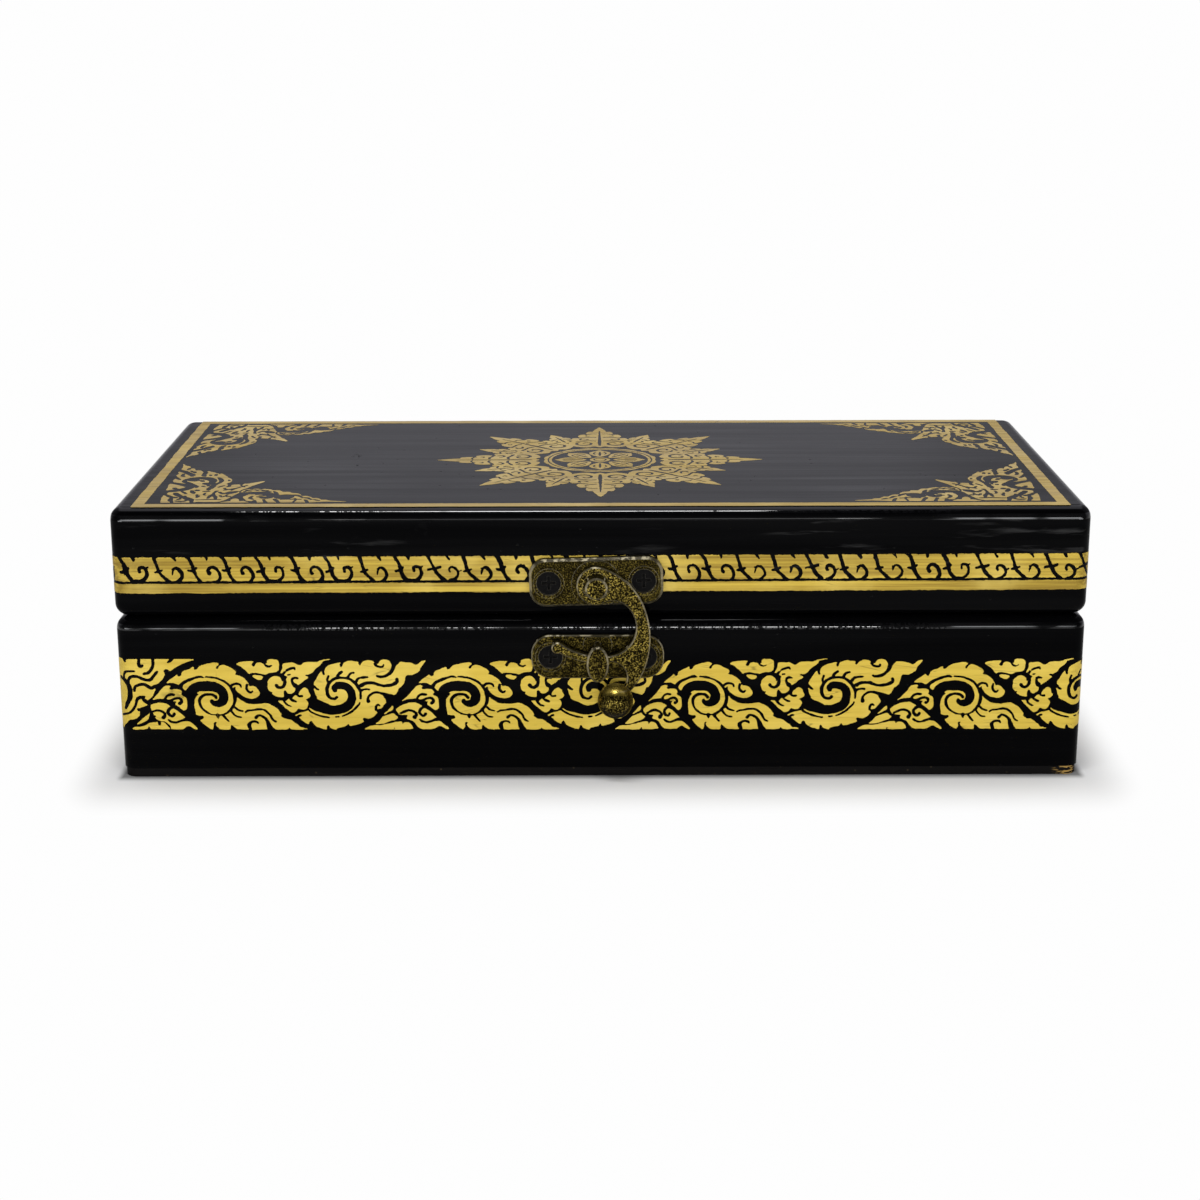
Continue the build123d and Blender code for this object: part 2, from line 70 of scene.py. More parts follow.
# each scroll is cut like a real stencil: gold outlines, then black strokes (across, up, width) in millimetres
great_scroll = (
    [
        # flame leaves over the great scroll
        [(-11.4, 12.15), (-10.1, 13.3), (-9.0, 14.15), (-8.8, 13.9), (-8.4, 13.7), (-8.0, 13.95), (-7.8, 14.65),
         (-7.35, 15.1), (-6.3, 15.5), (-5.1, 16.1), (-5.0, 15.6), (-4.7, 15.4), (-4.2, 15.6), (-3.7, 16.2),
         (-2.7, 16.7), (-1.5, 17.0), (-0.4, 17.2), (0.3, 17.15), (0.75, 16.8), (0.2, 16.3), (0, 15.85),
         (0.25, 15.55), (0.6, 15.7), (0.85, 16.2), (1.45, 16.6), (2.2, 16.55), (3.2, 16.1), (4.2, 15.5),
         (4.75, 15.0), (4.75, 14.6), (4.55, 14.15), (5.4, 14.0), (6.3, 13.5), (7.15, 12.75), (7.55, 12.05),
         (7.9, 11.25), (8.4, 11.3), (9.3, 11.05), (10.05, 10.15), (10.3, 9.5), (10.05, 8.8), (9.3, 8.3),
         (8.4, 8.1), (7.5, 8.25), (6.7, 8.45), (5.9, 8.95), (5.05, 9.65), (4.55, 10.4), (4.4, 11.1), (3.5, 10.5),
         (2.9, 11.6), (0.75, 13.0), (-2.4, 13.5), (-5, 13.3), (-7.3, 12.3), (-8.1, 11.5), (-8.6, 11.55),
         (-9.05, 11.7), (-9.6, 12.0), (-10.45, 12.1)],
        # the coil
        [(-7.8, 11.2), (-7.0, 12.0), (-5.8, 12.6), (-4.6, 13.1), (-3.2, 13.3), (-1.8, 13.4), (-0.6, 13.3),
         (0.6, 12.95), (1.6, 12.45), (2.65, 11.6), (3.6, 10.3), (4.1, 9.0), (4.2, 7.75), (3.9, 6.7), (3.0, 5.3),
         (1.7, 4.2), (0.25, 3.8), (-1.3, 3.95), (-3.55, 3.8), (-4.25, 3.75), (-5.1, 4.15), (-5.35, 5.0),
         (-5.4, 6.4), (-5.5, 7.05), (-5.1, 7.85), (-4.75, 8.6), (-4.3, 9.4), (-7.15, 10.1)],
        # leaves under the coil
        [(-5.1, 4.15), (-4.25, 3.75), (-3.55, 3.8), (-3.2, 3.5), (-3.3, 3.05), (-4.05, 2.7), (-3.9, 2.2),
         (-3.2, 1.4), (-2.0, 0.45), (-1.4, 0.2), (-1.05, 0.85), (-1.05, 1.8), (-0.7, 2.1), (-0.35, 1.95),
         (-0.6, 1.4), (0, 0.6), (0.75, 0.2), (2.75, 0.2), (2.9, 0.85), (3.1, 1.4), (3.5, 1.1), (4.2, 0.5),
         (5.4, 0.2), (11.7, 0.2), (12.8, 0.4), (13.25, 0.2), (16.35, 0.2), (17.05, 0.7), (17.7, 0.2),
         (21.25, 0.25), (20.65, 0.6), (19.6, 0.8), (19.1, 1.45), (18.4, 1.9), (17.7, 2.5), (17.05, 2.75),
         (16.35, 2.85), (15.65, 3.2), (15.15, 3.6), (15.3, 4.15), (14.8, 4.9), (13.95, 5.8), (12.9, 6.45),
         (12.05, 6.85), (11.15, 6.9), (9.95, 6.7), (8.25, 6.7), (7.05, 6.9), (6.3, 7.3), (5.25, 8.0),
         (4.6, 8.6), (4.3, 7.5), (3.9, 6.4), (3.0, 5.0), (1.7, 4.2), (0.25, 3.7), (-1.3, 3.9), (-3, 4.3)],
    ],
    [
        [(-6.1, 4.5, 1.6), (-6.3, 6.5, 1.6), (-6.2, 8.5, 1.8), (-5.6, 10.2, 1.9), (-4.2, 11.1, 1.9),
         (-2.4, 11.25, 2.0), (-0.5, 11.1, 1.9), (0.9, 10.3, 1.8), (1.6, 9.0, 1.75), (1.5, 7.9, 1.8),
         (1.0, 7.15, 1.6), (0.2, 6.8, 1.4), (-0.7, 6.9, 1.0), (-1.2, 7.3, 0.8), (-1.2, 7.6, 0.6)],
        [(-0.2, 8.3, 0.6), (-0.8, 8.95, 0.55), (-1.65, 9.15, 0.5), (-2.7, 9.05, 0.55), (-3.55, 8.55, 0.6),
         (-4.0, 7.75, 0.6), (-4.0, 6.9, 0.55), (-3.65, 5.8, 0.5), (-2.85, 4.9, 0.45), (-1.8, 4.2, 0.35),
         (-0.8, 3.95, 0.3), (0.6, 3.9, 0.3), (1.8, 4.2, 0.4), (2.85, 5.0, 0.5), (3.7, 6.05, 0.6),
         (4.15, 7.05, 0.65), (4.3, 8.4, 0.7), (4.05, 9.5, 0.6), (3.5, 10.7, 0.5), (2.85, 11.65, 0.45),
         (1.8, 12.5, 0.45), (0.75, 13.0, 0.4), (-0.45, 13.4, 0.4), (-2.35, 13.6, 0.35)],
        [(-2.95, 13.45, 0.3), (-3.7, 13.65, 0.5), (-5, 13.35, 0.45), (-6.3, 12.85, 0.5), (-7.3, 12.3, 0.55),
         (-8.0, 11.6, 0.7), (-8.4, 10.9, 0.9)],
        [(4.1, 6.0, 0.45), (4.7, 5.35, 0.45), (5.4, 5.05, 0.4), (6.0, 4.9, 0.35)],
        [(6.7, 4.65, 0.4), (7.4, 5.0, 0.4), (8.6, 5.15, 0.4), (9.8, 5.35, 0.45), (11.0, 5.25, 0.45),
         (11.85, 4.65, 0.45), (12.55, 3.95, 0.45), (12.9, 3.1, 0.45), (13.35, 2.5, 0.45), (13.85, 2.25, 0.4)],
        [(3.25, 5.15, 0.4), (3.5, 4.5, 0.4), (4.1, 3.8, 0.4), (4.7, 3.45, 0.4), (5.5, 3.35, 0.35)],
        [(1.3, 3.8, 0.5), (1.8, 3.1, 0.5), (2.5, 2.3, 0.4)],
        [(0, 3.8, 0.8), (0.05, 3.1, 0.3)],
        [(9.1, 3.2, 0.6), (9.8, 3.8, 0.5), (10.85, 3.45, 0.5), (11.7, 2.6, 0.6), (12.05, 1.55, 0.9),
         (12.45, 0.5, 1.1), (12.9, 0, 1.1)],
        [(9.55, 1.8, 0.35), (9.3, 2.15, 0.45), (8.6, 2.25, 0.45), (7.9, 2.05, 0.5), (7.4, 1.4, 0.8),
         (7.65, 0.5, 0.7), (7.8, 0, 0.6)],
        [(7.3, 11.6, 0.5), (7.15, 10.7, 0.55), (7.5, 9.95, 0.5), (8.1, 9.6, 0.45), (8.55, 9.95, 0.3)],
        [(3.45, 11.2, 0.5), (3.9, 11.65, 0.5), (4.7, 11.9, 0.5), (5.6, 11.65, 0.45), (5.85, 11.1, 0.4)],
    ],
)
crest_leaf = (
    [[(5.0, 16.8), (5.6, 17.25), (7.05, 17.5), (8.85, 17.55), (9.05, 17.35), (8.75, 16.9), (8.6, 16.55),
      (9.0, 16.2), (9.35, 16.4), (9.7, 17.0), (10.3, 17.2), (11.0, 17.1), (11.7, 16.8), (12.25, 17.05),
      (12.4, 17.75), (12.9, 18.0), (13.6, 18.0), (14.45, 17.95), (15.05, 17.5), (15.15, 16.7), (15.1, 15.7),
      (14.9, 15.15), (14.3, 14.75), (12.9, 14.65), (11.85, 14.2), (10.85, 14.4), (9.45, 14.65), (8.25, 14.55),
      (7.9, 14.4), (7.05, 15.25), (6.0, 16.2)]],
    [[(11.8, 16.7, 0.4), (12.2, 16.35, 0.45), (12.8, 16.2, 0.4), (13.35, 16.45, 0.3)]],
)
small_crescent = (
    [[(8.75, 13.8), (9.2, 14.05), (10.3, 13.95), (11.25, 13.6), (10.75, 12.95), (9.95, 12.9), (9.1, 13.35)]],
    [],
)
curled_bud = (
    [[(12.3, 11.9), (12.3, 12.4), (12.65, 13.0), (13.4, 13.6), (14.3, 13.8), (14.95, 13.6), (15.55, 13.0),
      (15.75, 12.4), (16.7, 12.95), (17.05, 13.55), (17.85, 13.3), (17.85, 12.6), (17.9, 11.7), (18.3, 11.05),
      (18.85, 10.7), (18.65, 9.9), (18.05, 9.4), (17.4, 9.3), (16.9, 9.5), (16.7, 9.9), (16.35, 10.15),
      (16.05, 9.9), (15.95, 9.15), (15.85, 8.45), (14.45, 8.6), (13.75, 8.95), (13.25, 9.3), (13.4, 9.75),
      (12.9, 9.85), (12.4, 10.35), (12.2, 11.2)]],
    [[(16.2, 13.6, 0.6), (16.35, 12.75, 0.65), (16.35, 11.9, 0.65), (16.0, 11.2, 0.6), (15.3, 10.85, 0.6),
      (14.6, 11.05, 0.6), (14.35, 11.4, 0.7)]],
)
high_leaf = (
    [[(15.4, 14.5), (15.65, 15.1), (16.0, 15.85), (16.0, 16.7), (16.35, 17.05), (17.7, 17.15), (18.65, 17.15),
      (19.3, 16.8), (19.95, 16.5), (20.5, 16.65), (21.0, 17.15), (22.2, 17.35), (24.1, 17.35), (24.95, 17.7),
      (25.85, 17.95), (27.5, 18.0), (25.8, 17.6), (25.5, 17.2), (24.95, 16.5), (23.9, 15.7), (23.05, 14.65),
      (22.05, 14.15), (21.6, 14.2), (21.25, 13.9), (21.95, 13.6), (21.85, 13.2), (21.0, 12.65), (20.3, 12.0),
      (19.2, 11.35), (18.65, 11.55), (18.35, 12.15), (18.0, 13.0), (17.0, 13.6), (16.35, 14.05), (16.45, 14.5),
      (16.35, 15.1), (15.9, 14.6)]],
    [
        [(15.9, 14.0, 0.5), (16.6, 14.85, 0.3)],
        [(16.95, 15.25, 0.45), (17.45, 15.5, 0.45), (18.05, 15.7, 0.45), (18.65, 15.8, 0.45), (18.9, 15.5, 0.4)],
        [(17.2, 14.1, 0.3), (17.7, 14.2, 0.3)],
        [(19.45, 13.2, 0.35), (18.8, 13.35, 0.5), (18.2, 13.1, 0.5), (18.05, 12.5, 0.55), (18.3, 11.9, 0.6),
         (18.9, 11.5, 0.7)],
    ],
)
low_leaf = (
    [[(14.6, 7.5), (15.65, 7.5), (15.9, 7.3), (16.45, 7.35), (16.8, 7.75), (17.2, 8.0), (17.5, 7.75),
      (18.0, 8.3), (18.75, 8.9), (19.6, 8.7), (19.6, 9.4), (19.95, 10.0), (20.65, 10.7), (21.25, 10.8),
      (21.85, 10.35), (22.05, 9.65), (22.45, 8.9), (22.05, 8.3), (21.25, 7.85), (21.6, 7.5), (21.85, 6.9),
      (21.6, 6.1), (21.0, 5.35), (20.3, 5.25), (19.8, 5.45), (19.3, 5.5), (19.0, 5.0), (18.4, 4.55),
      (17.7, 4.55), (16.7, 5.35), (15.65, 6.4), (14.8, 7.25)]],
    [
        [(15.95, 7.6, 0.5), (16.25, 7.0, 0.5), (16.8, 6.45, 0.45), (17.6, 6.15, 0.35)],
        [(17.75, 7.85, 0.45), (18.3, 7.5, 0.5), (18.9, 7.3, 0.45)],
        [(19.4, 8.75, 0.35), (19.9, 8.65, 0.45), (20.35, 8.7, 0.5)],
    ],
)
rounded_scroll = (
    [[(18.6, 3.8), (19.1, 4.15), (19.8, 4.5), (21.2, 4.8), (21.95, 5.15), (22.15, 5.9), (23.95, 8.1),
      (23.6, 9.15), (23.5, 9.85), (23.25, 10.5), (23.75, 10.95), (23.4, 11.55), (23.4, 12.25), (23.85, 12.95),
      (24.55, 14.15), (25.15, 14.95), (25.45, 14.6), (25.75, 14.25), (26.0, 15.0), (26.25, 15.8), (26.95, 16.4),
      (28.25, 16.9), (29.75, 17.15), (29.6, 16.55), (29.95, 16.05), (30.3, 16.4), (30.5, 17.0), (31.1, 17.4),
      (31.95, 17.65), (33.0, 17.5), (33.95, 17.4), (33.95, 16.9), (34.25, 16.5), (34.5, 16.8), (34.9, 17.3),
      (35.75, 17.7), (36.8, 17.7), (37.5, 17.3), (37.7, 16.8), (38.5, 16.9), (38.7, 17.3), (39.2, 17.85),
      (40.05, 17.95), (40.9, 17.65), (41.3, 17.0), (41.6, 16.2), (42.3, 16.4), (42.85, 17.05), (43.5, 17.4),
      (44.55, 17.3), (45.9, 17.05), (46.95, 16.65), (47.5, 16.8), (48.0, 17.25), (48.5, 17.6), (49.1, 17.7),
      (49.15, 17.4), (48.5, 16.55), (48.0, 15.7), (47.85, 15.1), (47.15, 14.55), (46.1, 14.05), (44.9, 14.0),
      (44.55, 13.45), (44.4, 12.6), (44.05, 11.7), (43.6, 11.05), (43.0, 10.7), (42.75, 10.15), (42.3, 9.3),
      (41.8, 8.95), (40.75, 9.0), (39.9, 9.3), (39.4, 8.55), (39.9, 7.75), (40.0, 7.05), (39.45, 6.3),
      (38.8, 5.5), (38.2, 5.35), (37.55, 5.1), (37.85, 4.5), (37.65, 4.2), (37.15, 3.55), (36.3, 3.0),
      (35.6, 2.95), (34.9, 3.1), (34.5, 2.85), (34.75, 2.3), (34.55, 2.0), (33.7, 1.65), (32.65, 1.3),
      (31.55, 1.1), (31.2, 1.65), (30.6, 1.05), (29.6, 0.8), (28.6, 0.5), (28.25, 0.1), (27.05, 0.5),
      (26.7, 1.05), (26.35, 1.3), (26.05, 0.85), (25.9, 0.2), (24.6, 0.5), (23.6, 0.95), (23.0, 1.4),
      (22.65, 2.0), (22.3, 2.3), (21.85, 2.0), (21.6, 1.55), (20.3, 2.4), (19.6, 3.2), (19.1, 3.55)]],
    [
        [(22.4, 7.4, 2.4), (23.7, 6.4, 2.4), (25.3, 5.85, 2.2), (27, 5.2, 1.9), (28.8, 5.2, 1.8),
         (30.4, 5.7, 1.8), (31.6, 6.6, 1.7), (32.15, 8.0, 1.55), (32.1, 9.6, 1.5), (31.4, 10.8, 1.45),
         (30.3, 11.35, 1.45), (29.1, 11.4, 1.4), (28.3, 10.9, 1.2), (28.3, 10.2, 0.9)],
        [(28.75, 8.45, 0.6), (28.25, 8.0, 0.55), (27.4, 8.1, 0.55), (26.8, 8.6, 0.6), (26.45, 9.5, 0.65),
         (26.45, 10.7, 0.7), (26.8, 11.7, 0.7), (27.55, 12.6, 0.6), (28.6, 13.2, 0.55), (29.6, 13.35, 0.5),
         (30.95, 13.3, 0.5), (31.95, 12.95, 0.55), (32.85, 12.15, 0.6), (33.5, 11.4, 0.6), (33.95, 10.5, 0.55),
         (34.2, 9.5, 0.45), (34.2, 8.1, 0.4)],
        [(33.95, 7.0, 0.35), (33.9, 6.9, 0.35)],
        [(33.8, 6.6, 0.4), (33.0, 5.7, 0.45), (32.15, 4.85, 0.45), (31.1, 4.15, 0.4), (29.9, 3.6, 0.35)],
        [(28.3, 3.4, 0.35), (29.0, 3.45, 0.35)],
        [(26.7, 3.2, 0.35), (24.95, 3.55, 0.4), (23.25, 4.2, 0.4), (22.2, 4.85, 0.45), (21.8, 5.35, 0.5)],
        [(34.45, 11.4, 0.8), (34.9, 11.7, 0.65), (35.75, 12.0, 0.65), (37.3, 12.0, 0.6), (38.35, 11.55, 0.55),
         (39.55, 11.3, 0.55), (40.75, 11.4, 0.6), (41.8, 11.7, 0.7), (42.65, 12.3, 0.6), (42.6, 13.0, 0.6)],
        [(34.3, 10.1, 0.6), (34.9, 10.35, 0.4), (35.6, 10.45, 0.4), (36.2, 10.35, 0.45)],
        [(33.35, 12.5, 0.6), (33.85, 13.2, 0.5), (34.9, 13.45, 0.5), (35.85, 13.5, 0.45)],
        [(38.1, 13.8, 0.45), (38.7, 13.6, 0.55), (39.7, 13.7, 0.6), (40.6, 14.15, 0.65), (41.45, 15.0, 0.7),
         (41.8, 15.85, 0.8), (42.05, 16.7, 0.9), (42.5, 17.6, 1.3)],
        [(35.95, 7.35, 0.7), (35.85, 8.1, 0.5), (36.2, 8.8, 0.5), (36.95, 9.4, 0.5), (37.8, 9.65, 0.55),
         (39.05, 9.4, 0.6), (40.05, 8.9, 0.9), (41.1, 8.4, 1.2)],
        [(37.6, 5.2, 0.5), (37.65, 6.0, 0.5), (38.1, 6.5, 0.45), (38.5, 6.25, 0.35)],
        [(37.65, 16.9, 0.5), (38.1, 16.35, 0.5), (38.8, 16.1, 0.45), (39.5, 16.2, 0.5), (39.65, 16.55, 0.45)],
        [(29.1, 13.8, 0.6), (29.45, 14.4, 0.5), (30.05, 14.85, 0.45)],
        [(31.45, 13.5, 0.6), (31.7, 14.05, 0.5), (32.2, 14.5, 0.45), (32.75, 14.6, 0.45)],
        [(26.65, 12.3, 0.45), (26.6, 13.0, 0.45), (26.85, 13.75, 0.45)],
        [(23.4, 11.2, 0.5), (23.9, 10.6, 0.45), (24.35, 10.35, 0.4)],
        [(25.5, 15.25, 0.5), (25.75, 14.3, 0.45)],
        [(18.9, 3.35, 0.4), (19.5, 3.7, 0.5), (19.9, 3.8, 0.4)],
    ],
)
side_flames = (
    [
        [(39.45, 4.15), (40.05, 4.75), (40.75, 5.6), (41.45, 6.2), (41.6, 5.7), (41.45, 5.1), (40.6, 4.65),
         (39.9, 4.2)],
        [(37.5, 1.7), (38.35, 2.4), (39.05, 3.3), (40.05, 3.8), (41.6, 4.3), (42.15, 3.8), (42.65, 3.35),
         (41.95, 2.65), (41.1, 2.4), (40.05, 2.0), (39.2, 1.7), (38.0, 1.55)],
        [(34.9, 0.2), (35.6, 0.7), (36.6, 1.2), (38.35, 1.2), (40.05, 1.55), (41.1, 1.8), (42.15, 2.1),
         (43.4, 2.15), (43.65, 1.55), (44.15, 2.0), (45.3, 1.8), (45.95, 0.85), (46.0, 0.35), (44.5, 0.2),
         (41.8, 0.2), (41.7, 0.7), (41.4, 0.2), (36, 0.2)],
    ],
    [],
)
foot_leaf = (
    [[(-16.75, 5.15), (-16.15, 5.85), (-15.1, 6.55), (-14.05, 6.9), (-12.85, 7.05), (-12, 6.9), (-11.15, 6.45),
      (-10.5, 6.0), (-10.1, 5.5), (-9.4, 5.15), (-8.7, 4.5), (-8.05, 3.9), (-7.35, 3.1), (-7.9, 2.9),
      (-7.1, 2.4), (-6.3, 2.0), (-5.45, 1.2), (-4.75, 0.4), (-5.1, 0.2), (-5.95, 0.6), (-6.65, 1.05),
      (-7.1, 1.0), (-7.5, 0.8), (-8.4, 0.3), (-10.95, 0.3), (-11.85, 0.8), (-12.35, 1.55), (-12.95, 2.35),
      (-13.55, 2.6), (-14.4, 3.0), (-14.25, 3.8), (-15.8, 4.0), (-16.2, 4.2)]],
    [
        [(-10.0, 4.15, 0.6), (-10.35, 3.6, 0.5), (-10.95, 3.8, 0.6), (-11.4, 4.5, 0.6), (-11.2, 5.25, 0.6),
         (-10.55, 5.8, 0.6), (-9.75, 5.95, 0.6)],
        [(-11.3, 2.65, 0.5), (-10.8, 2.25, 0.5), (-9.75, 2.0, 0.5), (-8.7, 2.35, 0.5), (-7.85, 2.65, 0.6),
         (-7.0, 2.8, 0.8)],
        [(-12.5, 3.3, 0.8), (-12.1, 3.95, 0.6), (-12.45, 4.6, 0.55), (-13.2, 5.0, 0.5), (-14.05, 5.1, 0.5),
         (-14.95, 4.75, 0.5), (-15.8, 4.3, 0.5)],
    ],
)
shoulder_leaf = (
    [[(-15.35, 7.4), (-14.4, 8.35), (-13.2, 9.65), (-12.35, 10.85), (-11.85, 11.3), (-10.95, 11.4),
      (-10.5, 11.2), (-10.8, 10.8), (-10.45, 10.4), (-9.65, 10.55), (-8.9, 10.5), (-8.2, 10.2), (-8.0, 9.65),
      (-8.2, 9.15), (-7.85, 8.8), (-7.25, 8.45), (-6.95, 7.75), (-6.9, 6.4), (-7.1, 5.5), (-7.7, 5.05),
      (-8.2, 5.35), (-8.9, 6.05), (-9.5, 6.45), (-9.6, 6.9), (-9.35, 7.35), (-10.7, 7.5), (-11.3, 7.95),
      (-12.0, 8.1), (-13.2, 8.05), (-14.4, 7.85)]],
    [
        [(-8.55, 6.9, 0.7), (-8.1, 7.25, 0.5), (-8.2, 7.75, 0.55), (-8.7, 8.2, 0.55), (-9.6, 8.1, 0.5),
         (-10.3, 7.75, 0.5), (-10.95, 7.5, 0.6)],
        [(-9.85, 9.05, 0.5), (-10.6, 9.15, 0.5), (-11.3, 8.9, 0.5), (-11.75, 8.3, 0.5), (-12, 7.9, 0.5)],
    ],
)
scroll_pattern = [great_scroll, crest_leaf, small_crescent, curled_bud, high_leaf, low_leaf, rounded_scroll,
                  side_flames, foot_leaf, shoulder_leaf]

